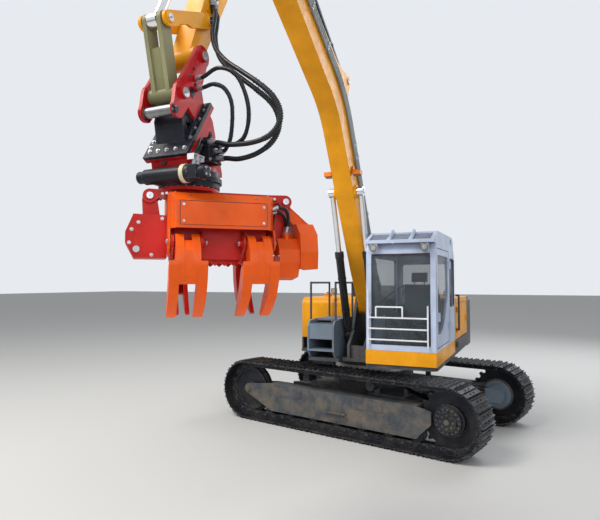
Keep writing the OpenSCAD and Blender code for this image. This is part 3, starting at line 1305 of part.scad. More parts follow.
// Saw box: a motor housing and a hollow guard, open below, with the bar's pin across it
motor_y0 = 436;
saw_y0 = 600;
saw_y1 = 742;
saw_pin = [130, -520];
saw_plane = saw_y0 + 70;
bar_t = 12;
saw_rest = 190;
module saw_outline(t) polygon([
    [-400 + t, -670 - 3 * t], [-400 + t, -480], [-270, -378 - t], [170, -378 - t], [280 - t, -470],
    [300 - t, -610], [290 - t, -740 - 3 * t], [-60, -740 - 3 * t]
]);
module saw_box() color(orange) head() {
    difference() {
        slab(saw_y0, saw_y1) saw_outline(0);
        slab(saw_y0 + 14, saw_y1 - 14) saw_outline(14);
    }
    slab(motor_y0, saw_y0 + 1) polygon([
        [112, -492], [190, -500], [268, -590], [280, -690], [226, -800], [60, -826], [-150, -780],
        [-150, -634], [112, -634]
    ]);
    disc_y(saw_pin[0], saw_pin[1], 26, saw_y0 + 13, saw_plane - bar_t / 2 - seat);
    disc_y(saw_pin[0], saw_pin[1], 26, saw_plane + bar_t / 2 + seat, saw_y1 - 13);
    for (x = [136, 184]) translate([x, motor_y0 + 80, -530]) cylinder(r = 22, h = 70);
    // foot plate bolted to the frame's end
    block(-76, 76, hang_y + seat, saw_y0 + 1, -600, -450);
}
bar_half = 50;
module saw_bar() color([0.3, 0.31, 0.33]) head() slab(saw_plane - bar_t / 2, saw_plane + bar_t / 2)
    translate(saw_pin) rotate(saw_rest) {
    translate([0, -bar_half]) square([saw_reach - bar_half, 2 * bar_half]);
    circle(bar_half);
    translate([saw_reach - bar_half, 0]) circle(bar_half);
}

// Hoses from the hitch's glands to the block: round numbers chosen by hand, from the drive's top
hose_r = 15;
hose_sides = 8;
hose_routes = [
    [[180, 190, 670], [180, 250, 670], [190, 380, 710], [190, 520, 650], [160, 590, 510],
     [120, 600, 360], [70, 540, 230], [30, 440, 190], [20, 340, 195], [20, hose_end, 195]],
    [[160, 190, 600], [160, 240, 600], [160, 330, 610], [150, 420, 560], [120, 460, 440],
     [85, 430, 240], [50, 370, 160], [25, 330, 145], [20, hose_end, 145]]
];
function rail(points, t) = let (
        n = len(points) - 1, i = min(floor(t), n - 1), u = t - i,
        p0 = points[max(i - 1, 0)], p1 = points[i], p2 = points[i + 1], p3 = points[min(i + 2, n)]
    ) 0.5 * (2 * p1 + (p2 - p0) * u + (2 * p0 - 5 * p1 + 4 * p2 - p3) * u * u + (3 * p1 - p0 - 3 * p2 + p3) * u * u * u);
function unit(v) = v / norm(v);
module tube(points, r, per) {
    n = (len(points) - 1) * per;
    centre = [for (k = [0:n]) rail(points, k / per)];
    heading = [for (k = [0:n]) unit(centre[min(k + 1, n)] - centre[max(k - 1, 0)])];
    rings = [for (k = [0:n]) let (a = unit(cross(heading[k], [1, 0, 0.02])), b = cross(heading[k], a))
        for (s = [0:hose_sides - 1]) centre[k] + r * (cos(360 * s / hose_sides) * a + sin(360 * s / hose_sides) * b)];
    sides = [for (k = [0:n - 1], s = [0:hose_sides - 1]) let (q = (s + 1) % hose_sides)
        [k * hose_sides + s, k * hose_sides + q, (k + 1) * hose_sides + q, (k + 1) * hose_sides + s]];
    polyhedron(rings, concat(sides, [[for (s = [hose_sides - 1:-1:0]) s]],
        [[for (s = [0:hose_sides - 1]) n * hose_sides + s]]));
}
module tool_hoses() color(black) upright() translate([drive_x, 0, drive_z]) for (route = hose_routes)
    tube(route, hose_r, 4);

centre_frame();
slew_ring();
left_track_frame();
right_track_frame();
left_track();
right_track();
drive_sprockets();
travel_motors();
idlers();
track_rollers();
slewing_platform();
counterweight();
engine_block();
left_housing();
right_housing();
fuel_tank();
front_steps();
cab_sill();
cab_shell();
cab_glass();
cab_front_guard();
cab_roof_guard();
operator_seat();
cab_controls();
handrails();
exhaust_stack();
work_lamps();
cab_door();
cab_door_glass();
left_service_door();
right_service_door();
engine_hood();
boom();
boom_pipes();
boom_lamps();
boom_barrels();
boom_rods();
stick();
stick_barrel();
stick_rod();
rocker();
link();
tool_barrel();
tool_rod();
quick_hitch();
hitch_base();
wedge_adapter();
slew_drive();
hose_block();
head_yoke();
head_frame();
head_cover();
saw_box();
front_arms();
rear_arms();
saw_bar();
tool_hoses();
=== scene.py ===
import json
from math import sin, cos, pi, radians, atan2, hypot, sqrt

import bpy
import bmesh
from mathutils import Matrix, Vector


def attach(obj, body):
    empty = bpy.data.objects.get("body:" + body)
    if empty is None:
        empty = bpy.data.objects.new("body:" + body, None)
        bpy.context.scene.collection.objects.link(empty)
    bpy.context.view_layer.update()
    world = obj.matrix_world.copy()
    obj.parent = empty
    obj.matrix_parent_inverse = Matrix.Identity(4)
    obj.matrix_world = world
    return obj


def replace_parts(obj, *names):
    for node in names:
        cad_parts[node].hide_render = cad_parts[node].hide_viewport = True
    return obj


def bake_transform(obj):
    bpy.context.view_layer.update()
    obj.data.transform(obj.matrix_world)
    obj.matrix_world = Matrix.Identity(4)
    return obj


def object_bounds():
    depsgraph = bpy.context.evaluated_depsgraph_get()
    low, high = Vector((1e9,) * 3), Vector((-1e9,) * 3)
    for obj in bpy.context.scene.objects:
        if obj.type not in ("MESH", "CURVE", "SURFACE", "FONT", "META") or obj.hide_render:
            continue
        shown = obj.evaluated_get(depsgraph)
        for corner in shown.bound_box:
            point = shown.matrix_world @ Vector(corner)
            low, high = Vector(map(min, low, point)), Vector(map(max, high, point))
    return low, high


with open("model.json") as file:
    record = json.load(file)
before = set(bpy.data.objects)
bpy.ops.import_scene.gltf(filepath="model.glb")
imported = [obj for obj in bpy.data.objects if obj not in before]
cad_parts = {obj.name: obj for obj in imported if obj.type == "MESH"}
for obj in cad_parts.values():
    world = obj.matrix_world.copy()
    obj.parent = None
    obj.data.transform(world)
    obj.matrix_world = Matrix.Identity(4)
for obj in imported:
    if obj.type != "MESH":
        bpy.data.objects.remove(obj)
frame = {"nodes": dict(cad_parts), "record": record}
cadBox = [list(corner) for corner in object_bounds()]
nodes = frame["nodes"]
scene = bpy.context.scene
groundZ = cadBox[0][2]
print("stage: frame loaded")


def addObject(name, data):
    made = bpy.data.objects.new(name, data)
    scene.collection.objects.link(made)
    return made


def facing(direction):  # the turn of a camera or a lamp that looks this way
    return Vector(direction).to_track_quat("-Z", "Y").to_euler()


# camera

cameraFacts = {"place": (8.374, 2.449, 1.79), "look": (-0.9114, -0.4115, 0.04226), "lens": 31.2,
               "sensor": 36.0, "reach": 300}
cameraData = bpy.data.cameras.new("photoCamera")
cameraData.lens = cameraFacts["lens"]
cameraData.sensor_width = cameraFacts["sensor"]
cameraData.clip_end = cameraFacts["reach"]
camera = addObject("photoCamera", cameraData)
camera.location = cameraFacts["place"]
camera.rotation_euler = facing(cameraFacts["look"])
scene.camera = camera

# node shorthands for the materials


def setNode(tree, node, values):  # a property, a link from another socket, or a socket's own value
    for key, value in values.items():
        if isinstance(key, str) and hasattr(node, key):
            setattr(node, key, value)
        elif hasattr(value, "links"):
            tree.links.new(value, node.inputs[key])
        else:
            node.inputs[key].default_value = (*value, 1) if node.inputs[key].type == "RGBA" else value
    return node


def addNode(tree, kind, **values):
    return setNode(tree, tree.nodes.new(kind), values)


def objectPlace(tree):
    place = tree.nodes.get("place") or addNode(tree, "ShaderNodeTexCoord", name="place")
    return place.outputs["Object"]


def noiseOn(tree, scale, detail=4, rough=0.55, stretch=None):
    source = objectPlace(tree)
    if stretch:
        source = addNode(tree, "ShaderNodeMapping", Scale=stretch, Vector=source).outputs["Vector"]
    noise = addNode(tree, "ShaderNodeTexNoise", Scale=scale, Detail=detail, Roughness=rough, Vector=source)
    return noise.outputs["Fac"]


def waveOn(tree, axis, scale, bend):
    wave = addNode(tree, "ShaderNodeTexWave", bands_direction=axis, Scale=scale, Distortion=bend)
    return setNode(tree, wave, {"Vector": objectPlace(tree)}).outputs["Fac"]


def remap(tree, source, low, high, toLow=0.0, toHigh=1.0):
    limits = {"From Min": low, "From Max": high, "To Min": toLow, "To Max": toHigh, "Value": source}
    return addNode(tree, "ShaderNodeMapRange", **limits).outputs["Result"]


def mixColour(tree, factor, first, second):
    mix = addNode(tree, "ShaderNodeMix", data_type="RGBA")
    return setNode(tree, mix, {0: factor, 6: first, 7: second}).outputs[2]


def combine(tree, operation, first, second):
    maths = addNode(tree, "ShaderNodeMath", operation=operation)
    return setNode(tree, maths, {0: first, 1: second}).outputs[0]


def plus(tree, first, second):
    return combine(tree, "ADD", first, second)


def times(tree, first, second):
    return combine(tree, "MULTIPLY", first, second)


def edgeMask(tree, reach):  # 1 along sharp edges, 0 on flats
    bevel = addNode(tree, "ShaderNodeBevel", samples=4, Radius=reach)
    geometry = addNode(tree, "ShaderNodeNewGeometry")
    dot = addNode(tree, "ShaderNodeVectorMath", operation="DOT_PRODUCT")
    setNode(tree, dot, {0: bevel.outputs["Normal"], 1: geometry.outputs["Normal"]})
    return remap(tree, dot.outputs["Value"], 0.985, 0.86)


def relief(tree, height, strength, distance):
    bump = addNode(tree, "ShaderNodeBump", Strength=strength, Distance=distance, Height=height)
    return bump.outputs["Normal"]


def startMaterial(name="finish"):
    material = bpy.data.materials.new(name)
    material.use_nodes = True
    return material, material.node_tree, material.node_tree.nodes["Principled BSDF"]


def heightOf(tree):
    split = addNode(tree, "ShaderNodeSeparateXYZ", Vector=objectPlace(tree))
    return split.outputs["Z"]


def tinted(colour, share, lift=0.0):
    return tuple(min(1.0, part * share + lift) for part in colour)


# Painted steel: mottled colour, settled dust, scuffs along edges and a faint orange peel
def paintedSteel(colour, rough=0.42, dust=0.25, dustColour=(0.23, 0.18, 0.12), wear=0.0,
                 wearColour=(0.16, 0.15, 0.14), metal=0.0, dustTop=1.2):
    material, tree, shader = startMaterial()
    mottle = remap(tree, noiseOn(tree, 2.3, 5), 0.32, 0.68)
    base = mixColour(tree, mottle, tinted(colour, 0.78), tinted(colour, 1.1, 0.004))
    speck = remap(tree, noiseOn(tree, 38, 6, 0.7), 0.5, 0.78)
    cloud = remap(tree, noiseOn(tree, 4.5, 6, 0.65), 0.42, 0.75)
    low = remap(tree, heightOf(tree), dustTop, groundZ, 0.25, 1.0)
    dusty = times(tree, plus(tree, cloud, times(tree, speck, 0.5)), low)
    dusty = combine(tree, "MINIMUM", times(tree, dusty, dust * 2), 0.9)
    base = mixColour(tree, dusty, base, dustColour)
    if wear > 0:
        chips = remap(tree, noiseOn(tree, 22, 8, 0.75), 0.46, 0.6)
        chips = times(tree, times(tree, edgeMask(tree, 0.012), chips), wear)
        scratches = times(tree, remap(tree, noiseOn(tree, 9, 8, 0.8, (1, 1, 7)), 0.61, 0.7), wear * 0.5)
        base = mixColour(tree, combine(tree, "MINIMUM", plus(tree, chips, scratches), 1.0), base, wearColour)
    gloss = remap(tree, noiseOn(tree, 11, 5), 0.3, 0.7, rough - 0.07, rough + 0.09)
    setNode(tree, shader, {"Base Color": base, "Roughness": plus(tree, gloss, times(tree, dusty, 0.35)),
                           "Metallic": metal, "Specular IOR Level": 0.2,
                           "Normal": relief(tree, noiseOn(tree, 160, 3), 0.06, 0.002)})
    return material


# Bare or machined metal with drawn streaks along one axis
def bareMetal(colour, rough=0.3, streak=(1, 1, 30), grime=0.3):
    material, tree, shader = startMaterial()
    dirty = remap(tree, noiseOn(tree, 6, 6, 0.7), 0.4, 0.75, 0, grime)
    lines = remap(tree, noiseOn(tree, 40, 3, 0.6, streak), 0.3, 0.7, rough - 0.08, rough + 0.12)
    setNode(tree, shader, {"Base Color": mixColour(tree, dirty, colour, tinted(colour, 0.3)), "Metallic": 1.0,
                           "Roughness": plus(tree, lines, times(tree, dirty, 0.4))})
    return material


def softRubber(colour, rough):
    material, tree, shader = startMaterial()
    patches = remap(tree, noiseOn(tree, 14, 5, 0.7), 0.35, 0.75)
    gloss = remap(tree, noiseOn(tree, 20, 4), 0.3, 0.7, rough - 0.1, rough + 0.1)
    setNode(tree, shader, {"Base Color": mixColour(tree, patches, colour, tinted(colour, 1.5, 0.003)),
                           "Roughness": gloss, "Specular IOR Level": 0.3,
                           "Normal": relief(tree, noiseOn(tree, 220, 2), 0.15, 0.001)})
    return material


def wovenCloth(colour):
    material, tree, shader = startMaterial()
    threads = [waveOn(tree, axis, 110, 0.6) for axis in "XYZ"]
    weave = times(tree, plus(tree, threads[0], threads[1]), threads[2])
    base = mixColour(tree, remap(tree, weave, 0.1, 1.2), tinted(colour, 0.6), colour)
    setNode(tree, shader, {"Base Color": base, "Roughness": 0.85, "Sheen Weight": 0.25,
                           "Normal": relief(tree, weave, 0.25, 0.001)})
    return material


def clearPane(tint):
    material, tree, shader = startMaterial()
    smear = remap(tree, noiseOn(tree, 3, 6, 0.7), 0.4, 0.8, 0.0, 0.1)
    setNode(tree, shader, {"Base Color": mixColour(tree, smear, tint, (0.5, 0.48, 0.44)),
                           "Roughness": plus(tree, smear, 0.04), "IOR": 1.45, "Alpha": 0.3})
    return material


def lampLens(colour):
    material, tree, shader = startMaterial()
    ribs = waveOn(tree, "Y", 22, 0.0)
    setNode(tree, shader, {"Base Color": mixColour(tree, ribs, tinted(colour, 0.8), colour),
                           "Roughness": 0.12, "Coat Weight": 0.6, "Normal": relief(tree, ribs, 0.4, 0.002)})
    return material


finishes = {
    "chassis_grey": paintedSteel((0.06, 0.072, 0.088), 0.5, 0.45, wear=0.5),
    "track_steel": paintedSteel((0.02, 0.023, 0.032), 0.46, 0.26, (0.11, 0.092, 0.07), 0.9,
                                (0.3, 0.29, 0.28), 0.45, dustTop=0.7),
    "motor_blue_grey": paintedSteel((0.17, 0.23, 0.3), 0.45, 0.35, wear=0.4),
    "ring_steel": bareMetal((0.32, 0.31, 0.3), 0.35),
    "machine_yellow": paintedSteel((0.92, 0.38, 0.006), 0.36, 0.1, (0.42, 0.24, 0.07), 0.25,
                                   (0.3, 0.17, 0.06)),
    "counterweight_grey": paintedSteel((0.075, 0.083, 0.095), 0.5, 0.25, wear=0.3),
    "engine_grey": paintedSteel((0.14, 0.145, 0.15), 0.55, 0.4, (0.05, 0.04, 0.03)),
    "cab_blue": paintedSteel((0.52, 0.6, 0.78), 0.34, 0.08, (0.4, 0.36, 0.3), 0.15, (0.3, 0.3, 0.32)),
    "clear_glass": clearPane((0.1, 0.13, 0.15)),
    "guard_white": paintedSteel((0.8, 0.82, 0.86), 0.35, 0.12, (0.4, 0.36, 0.3), 0.35, (0.25, 0.2, 0.16)),
    "seat_black": wovenCloth((0.035, 0.036, 0.042)),
    "black_plastic": softRubber((0.025, 0.025, 0.028), 0.5),
    "exhaust_black": paintedSteel((0.03, 0.028, 0.027), 0.7, 0.3, (0.14, 0.07, 0.04), 0.6, (0.2, 0.09, 0.05)),
    "lamp_grey": paintedSteel((0.46, 0.5, 0.52), 0.3, 0.1),
    "pipe_grey": paintedSteel((0.3, 0.33, 0.34), 0.34, 0.15, wear=0.3, wearColour=(0.5, 0.5, 0.5)),
    "lamp_orange": paintedSteel((0.85, 0.24, 0.02), 0.4, 0.15, wear=0.3),
    "cylinder_black": paintedSteel((0.022, 0.023, 0.027), 0.3, 0.18, wear=0.3, wearColour=(0.2, 0.2, 0.2)),
    "rod_chrome": bareMetal((0.78, 0.78, 0.8), 0.12, (1, 1, 12), 0.12),
    # dull olive base: the link's yellow paint as it looks in shade, painted shade in its colour
    "link_olive": paintedSteel((0.25, 0.24, 0.12), 0.4, 0.25, wear=0.7, wearColour=(0.35, 0.33, 0.28)),
    "hitch_red": paintedSteel((0.55, 0.005, 0.009), 0.32, 0.08, (0.22, 0.1, 0.07), 0.9, (0.24, 0.13, 0.11)),
    "drive_black": paintedSteel((0.01, 0.013, 0.021), 0.36, 0.14, (0.16, 0.13, 0.1), 0.7,
                                (0.28, 0.28, 0.3)),
    "head_orange": paintedSteel((0.97, 0.115, 0.004), 0.34, 0.08, (0.36, 0.17, 0.08), 0.8,
                                (0.33, 0.16, 0.1)),
    "head_red": paintedSteel((0.6, 0.014, 0.008), 0.36, 0.1, (0.24, 0.11, 0.06), 0.8, (0.26, 0.14, 0.1)),
    "hose_rubber": softRubber((0.006, 0.007, 0.01), 0.36),
    "bar_steel": bareMetal((0.3, 0.3, 0.31), 0.32, (4, 4, 30), 0.5),
    "pinSteel": bareMetal((0.46, 0.46, 0.48), 0.32, (3, 3, 3), 0.45),
    "lensGlass": lampLens((0.78, 0.82, 0.8)),
    "creamBand": paintedSteel((0.72, 0.62, 0.42), 0.45, 0.2),
}
for slotName, material in finishes.items():  # each named after its slot
    words = slotName.split("_")
    material.name = words[0] + "".join(word.capitalize() for word in words[1:])
slotOf = {part["node"]: part["material_slot"] for part in frame["record"]["subparts"]}
for nodeName, nodeObject in nodes.items():
    for materialSlot in nodeObject.material_slots:
        materialSlot.material = finishes[slotOf[nodeName]]
print("stage: materials assigned")

# floor, light and backdrop

stageFacts = {"half": 90.0, "floor": (0.66, 0.66, 0.65), "sky": (0.9, 0.92, 0.95), "skyStrength": 0.38,
              "shownSky": (0.8, 0.83, 0.87)}
floorMesh = bmesh.new()
bmesh.ops.create_grid(floorMesh, x_segments=2, y_segments=2, size=stageFacts["half"])
bmesh.ops.translate(floorMesh, verts=floorMesh.verts, vec=(0, 0, groundZ))
floorData = bpy.data.meshes.new("floor")
floorMesh.to_mesh(floorData)
floorMesh.free()
floorPaint, floorTree, floorShader = startMaterial("floorPaint")
setNode(floorTree, floorShader, {"Base Color": stageFacts["floor"], "Roughness": 0.9})
floorData.materials.append(floorPaint)
addObject("floor", floorData)

world = bpy.data.worlds.new("studio")
scene.world = world
world.use_nodes = True
worldTree = world.node_tree
litSky = worldTree.nodes["Background"]
setNode(worldTree, litSky, {"Color": stageFacts["sky"], "Strength": stageFacts["skyStrength"]})
shownSky = addNode(worldTree, "ShaderNodeBackground", Color=stageFacts["shownSky"], Strength=1.0)
lightPath = addNode(worldTree, "ShaderNodeLightPath")
seen = lightPath.outputs["Is Camera Ray"]
for ray in ("Is Transmission Ray", "Is Glossy Ray"):
    seen = combine(worldTree, "MAXIMUM", seen, lightPath.outputs[ray])
skyMix = addNode(worldTree, "ShaderNodeMixShader")
setNode(worldTree, skyMix, {0: seen, 1: litSky.outputs["Background"], 2: shownSky.outputs["Background"]})
setNode(worldTree, worldTree.nodes["World Output"], {"Surface": skyMix.outputs["Shader"]})

lampTable = [  # name, place, aim, size, watts, colour
    ("keyLight", (10.5, -5.5, 13.0), (2.5, 0.0, 2.0), 7.0, 1950, (1.0, 0.97, 0.92)),
    ("fillLight", (13.0, 8.5, 7.0), (3.5, 0.0, 2.0), 9.0, 560, (0.92, 0.96, 1.0)),
    ("rimLight", (-9.0, 5.0, 9.0), (0.0, 0.0, 2.0), 8.0, 650, (0.95, 0.97, 1.0)),
]
for lampName, lampPlace, lampAim, lampSize, lampWatts, lampColour in lampTable:
    lampData = bpy.data.lights.new(lampName, "AREA")
    lampData.size = lampSize
    lampData.energy = lampWatts
    lampData.color = lampColour
    lampObject = addObject(lampName, lampData)
    lampObject.location = lampPlace
    lampObject.rotation_euler = facing(Vector(lampAim) - Vector(lampPlace))
scene.view_settings.view_transform = "Standard"
print("stage: floor and light")

# frames that the pieces are built in

originLift = 460  # the model's origin over the ground, in millimetres


def place(x, y, z):  # millimetres over the ground, to metres in the model's frame
    return Vector((x, y, z - originLift)) / 1000


def mm(*values):
    return Vector(values) / 1000


def moved(x, y, z):
    return Matrix.Translation((x, y, z))


def turned(degrees, axis):
    return Matrix.Rotation(radians(degrees), 4, axis)


def frameAt(x, z, degrees):  # a frame at a pin, turned up by an angle
    return moved(*place(x, 0, z)) @ turned(-degrees, "Y")


def driveTop(x, y, z):  # millimetres from the middle of the drive's top
    return place(5050 + x, y, 3090 + z)


def at(matrix, *spot):
    return matrix @ Vector(spot)


def way(matrix, *direction):
    return matrix.to_3x3() @ Vector(direction)


wholeFrame = moved(*place(0, 0, 0))
crawlerFrame = wholeFrame @ turned(77, "Z")
boomFrame = frameAt(200, 1880, 60)
boomBend = {"degrees": 31, "radius": 1.5, "x": 2.884, "z": -1.5}
bendFrame = boomFrame @ moved(boomBend["x"], 0, boomBend["z"]) @ turned(boomBend["degrees"], "Y")
boomTipFrame = boomFrame @ moved(5.5458, 0, -1.3494) @ turned(boomBend["degrees"], "Y")
stickFrame = frameAt(4141.504, 6008.085, -64.5)
plateFrame = frameAt(5187.27, 3384.82, -57)
driveFrame = moved(*driveTop(0, 0, 0))
headFrame = driveFrame @ turned(42, "Z") @ moved(0, 0.22, 0)
seatFrame = moved(*place(250, 750, 1352))
flanks = ((1, "left"), (-1, "right"))
bodyOf = {part: body for body, parts in frame["record"]["behaviour"]["bodies"].items() for part in parts}

# ways to build pieces


def addRod(bm, start, end, radius, sides=20, tip=None):
    span = end - start
    turn = span.to_track_quat("Z", "Y").to_matrix().to_4x4()
    bmesh.ops.create_cone(bm, cap_ends=True, segments=sides, radius1=radius,
                          radius2=radius if tip is None else tip,
                          depth=span.length, matrix=moved(*((start + end) / 2)) @ turn)


def addStuds(bm, spot, out, *rows):  # rods along one line: near and far end, radius, sides, maybe a tip
    for near, far, *sizes in rows:
        addRod(bm, spot + out * near, spot + out * far, *sizes)


def addBox(bm, first, last, turn=None):  # between two opposite corners
    centre = (Vector(first) + Vector(last)) / 2
    size = [abs(span) for span in Vector(last) - Vector(first)]
    matrix = moved(*centre) @ Matrix.Diagonal((*size, 1))
    bmesh.ops.create_cube(bm, size=1, matrix=matrix if turn is None else turn @ matrix)


def placeBox(bm, first, last):  # corners in millimetres over the ground
    addBox(bm, place(*first), place(*last))


def addBolt(bm, point, direction, size, washer=True):
    out = Vector(direction).normalized()
    if washer:
        addStuds(bm, point, out, (-0.001, size * 0.22, size * 1.35, 16))
    addStuds(bm, point, out, (0, size * 0.95, size, 6, size * 0.96),
             (size * 0.9, size * 1.06, size * 0.62, 10))


def addBolts(bm, matrix, direction, size, spots, washer=True):  # spots and direction in the matrix
    for spot in spots:
        addBolt(bm, at(matrix, *spot), way(matrix, *direction), size, washer)


def ringOf(count, radius, start=0.0):  # pairs round a circle
    turns = [2 * pi * step / count + start for step in range(count)]
    return [(cos(turn) * radius, sin(turn) * radius) for turn in turns]


def collar(inner, outer, low, high):  # profile of a plain ring
    return [(inner, low), (outer, low), (outer, high), (inner, high)]


def addTurned(bm, matrix, profile, sides=32):  # pairs of radius and height, spun about Z
    old = set(bm.verts)
    spots = [bm.verts.new((radius, 0, height)) for radius, height in profile]
    edges = [bm.edges.new((spot, spots[(index + 1) % len(spots)])) for index, spot in enumerate(spots)]
    bmesh.ops.spin(bm, geom=spots + edges, cent=(0, 0, 0), axis=(0, 0, 1), angle=2 * pi, steps=sides,
                   use_merge=True)
    bmesh.ops.transform(bm, matrix=matrix, verts=[vert for vert in bm.verts if vert not in old])


def meshPiece(name, bm, finish, soft):
    mesh = bpy.data.meshes.new(name)
    bm.to_mesh(mesh)
    bm.free()
    for face in mesh.polygons:
        face.use_smooth = True
    mesh.set_sharp_from_angle(angle=radians(soft))
    mesh.materials.append(finishes[finish])
    return addObject(name, mesh)


def roundEdges(piece, width, segments, soft):
    rounding = piece.modifiers.new("rounding", "BEVEL")
    rounding.width = width
    rounding.segments = segments
    rounding.limit_method = "ANGLE"
    rounding.angle_limit = radians(soft)
    rounding.harden_normals = True


def finishPiece(name, bm, slotName, body, bevel=0.0, segments=2, matrix=None, soft=35, finish=None):
    if matrix is not None:
        bmesh.ops.transform(bm, matrix=matrix, verts=bm.verts)
    bmesh.ops.recalc_face_normals(bm, faces=bm.faces)
    piece = meshPiece(name, bm, finish or slotName, soft)
    if bevel > 0:
        roundEdges(piece, bevel, segments, soft)
    if body:
        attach(piece, body)
    return piece


def brightPiece(name, bm, body, bevel=0.0):
    return finishPiece(name, bm, "bar_steel", body, bevel, 1, finish="pinSteel")


# A rounded copy of a CAD node: its doubles merged, its flats joined, then its edges eased
def easeNode(node, width):
    bm = bmesh.new()
    bm.from_mesh(nodes[node].data)
    bmesh.ops.remove_doubles(bm, verts=bm.verts, dist=0.00002)
    bmesh.ops.dissolve_limit(bm, angle_limit=radians(0.6), verts=bm.verts, edges=bm.edges)
    piece = meshPiece(node + "Eased", bm, slotOf[node], 32)
    roundEdges(piece, width, 2, 32)
    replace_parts(piece, node)
    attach(piece, bodyOf[node])


def smoothPath(points, steps=8):  # a rounded line through the points
    line = []
    last = len(points) - 1
    for index in range(last):
        before, start = points[max(index - 1, 0)], points[index]
        end, after = points[index + 1], points[min(index + 2, last)]
        for step in range(steps):
            t = step / steps
            line.append(0.5 * (2 * start + (end - before) * t
                               + (2 * before - 5 * start + 4 * end - after) * t * t
                               + (3 * start - before - 3 * end + after) * t * t * t))
    line.append(points[-1])
    return line


def frames(line):  # a turning frame along a line, without twist
    heads = []
    for index, point in enumerate(line):
        ahead = line[min(index + 1, len(line) - 1)] - line[max(index - 1, 0)]
        heads.append(ahead.normalized())
    side = heads[0].orthogonal().normalized()
    result = []
    for head in heads:
        side = (side - head * side.dot(head)).normalized()
        result.append((head, side, head.cross(side)))
    return result


def addSweep(bm, line, radius, sides=12):
    rings = []
    for point, (head, side, up) in zip(line, frames(line)):
        rings.append([bm.verts.new(point + side * a + up * b) for a, b in ringOf(sides, radius)])
    for first, second in zip(rings, rings[1:]):
        for step in range(sides):
            after = (step + 1) % sides
            bm.faces.new((first[step], first[after], second[after], second[step]))
    bm.faces.new(rings[0])
    bm.faces.new(rings[-1])


def tubeOn(name, line, radius, sides, slotName, body, finish=None):
    curve = bpy.data.curves.new(name, "CURVE")
    curve.dimensions = "3D"
    spline = curve.splines.new("POLY")
    spline.points.add(len(line) - 1)
    for spot, point in zip(spline.points, line):
        spot.co = (*point, 1)
    curve.bevel_depth = radius
    curve.bevel_resolution = sides
    curve.use_fill_caps = True
    curve.materials.append(finishes[finish or slotName])
    piece = addObject(name, curve)
    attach(piece, body)
    return piece


def guardOn(name, line, radius, wire, turnLength):  # a wire wound round a hose
    travelled = 0.0
    coil = []
    around = frames(line)
    fine = 6
    for index in range(len(line) - 1):
        reach = (line[index + 1] - line[index]).length
        for step in range(fine):
            t = step / fine
            point = line[index].lerp(line[index + 1], t)
            side = around[index][1].lerp(around[index + 1][1], t)
            up = around[index][2].lerp(around[index + 1][2], t)
            angle = 2 * pi * (travelled + reach * t) / turnLength
            coil.append(point + (side * cos(angle) + up * sin(angle)) * radius)
        travelled += reach
    return tubeOn(name, coil, wire, 1, "hose_rubber", "hitch", "black_plastic")


def ferrule(bm, point, direction, radius):  # a crimped hose end with its nut
    out = Vector(direction).normalized()
    rings = [(near, near + 0.004, radius * 1.42, 20) for near in (0.01, 0.022, 0.034)]
    addStuds(bm, point, out, (0, 0.045, radius * 1.28, 20), *rings, (-0.022, 0.002, radius * 1.55, 6))


# eased edges on the painted castings and plates

easing = {
    "boom": 0.005, "stick": 0.004, "rocker": 0.004, "link": 0.005, "quick_hitch": 0.004,
    "wedge_adapter": 0.004, "head_yoke": 0.004, "head_frame": 0.003, "head_cover": 0.004, "saw_box": 0.004,
    "front_arms": 0.005, "rear_arms": 0.005, "slew_drive": 0.003, "hitch_base": 0.004, "hose_block": 0.004,
    "cab_shell": 0.008, "cab_door": 0.004, "cab_sill": 0.005, "cab_roof_guard": 0.003,
    "left_housing": 0.006, "right_housing": 0.006, "fuel_tank": 0.008, "counterweight": 0.012,
    "engine_hood": 0.005, "left_service_door": 0.003, "right_service_door": 0.003, "front_steps": 0.003,
    "slewing_platform": 0.004, "centre_frame": 0.005, "left_track_frame": 0.004, "right_track_frame": 0.004,
    "travel_motors": 0.005, "drive_sprockets": 0.003, "idlers": 0.003, "engine_block": 0.008,
    "boom_barrels": 0.003, "stick_barrel": 0.003, "tool_barrel": 0.003, "boom_lamps": 0.003,
    "cab_controls": 0.004, "work_lamps": 0.003, "exhaust_stack": 0.003, "saw_bar": 0.002,
}
for nodeName, width in easing.items():
    easeNode(nodeName, width)
print("stage: edges eased")

# tool hoses: the hitch's two short loops, and two longer ones that come down from the stick

hoseRoutes = {  # the same routes as the CAD hoses
    "upperToolHose": [(180, 190, 670), (180, 250, 670), (190, 380, 710), (190, 520, 650), (160, 590, 510),
                      (120, 600, 360), (70, 540, 230), (30, 440, 190), (20, 340, 195), (20, 292, 195)],
    "lowerToolHose": [(160, 190, 600), (160, 240, 600), (160, 330, 610), (150, 420, 560), (120, 460, 440),
                      (85, 430, 240), (50, 370, 160), (25, 330, 145), (20, 292, 145)],
}
stickRoutes = {  # from the stick's end to the block
    "outerToolHose": [(-140, 104, 1423), (-129, 116, 1375), (-112, 150, 1310), (-86, 160, 1225),
                      (-50, 172, 1105),
                      (-12, 228, 965), (30, 350, 830), (65, 500, 715), (85, 650, 600), (90, 770, 488),
                      (90, 832, 375), (90, 826, 275), (92, 745, 195), (95, 608, 162), (98, 440, 165),
                      (92, 330, 192), (85, 262, 205)],
    "innerToolHose": [(-176, 104, 1406), (-165, 116, 1358), (-148, 150, 1292), (-124, 160, 1205),
                      (-90, 172, 1080),
                      (-56, 228, 925), (-14, 345, 790), (15, 490, 670), (32, 630, 555), (38, 745, 445),
                      (38, 800, 335), (38, 790, 235), (38, 725, 150), (36, 608, 92), (30, 470, 72),
                      (22, 360, 88), (20, 292, 95)],
}
hoseFacts = {"short": 0.015, "long": 0.019, "blendStart": (-100, 160, 1230), "blendEnd": (60, 480, 730),
             "guarded": slice(62, 100)}


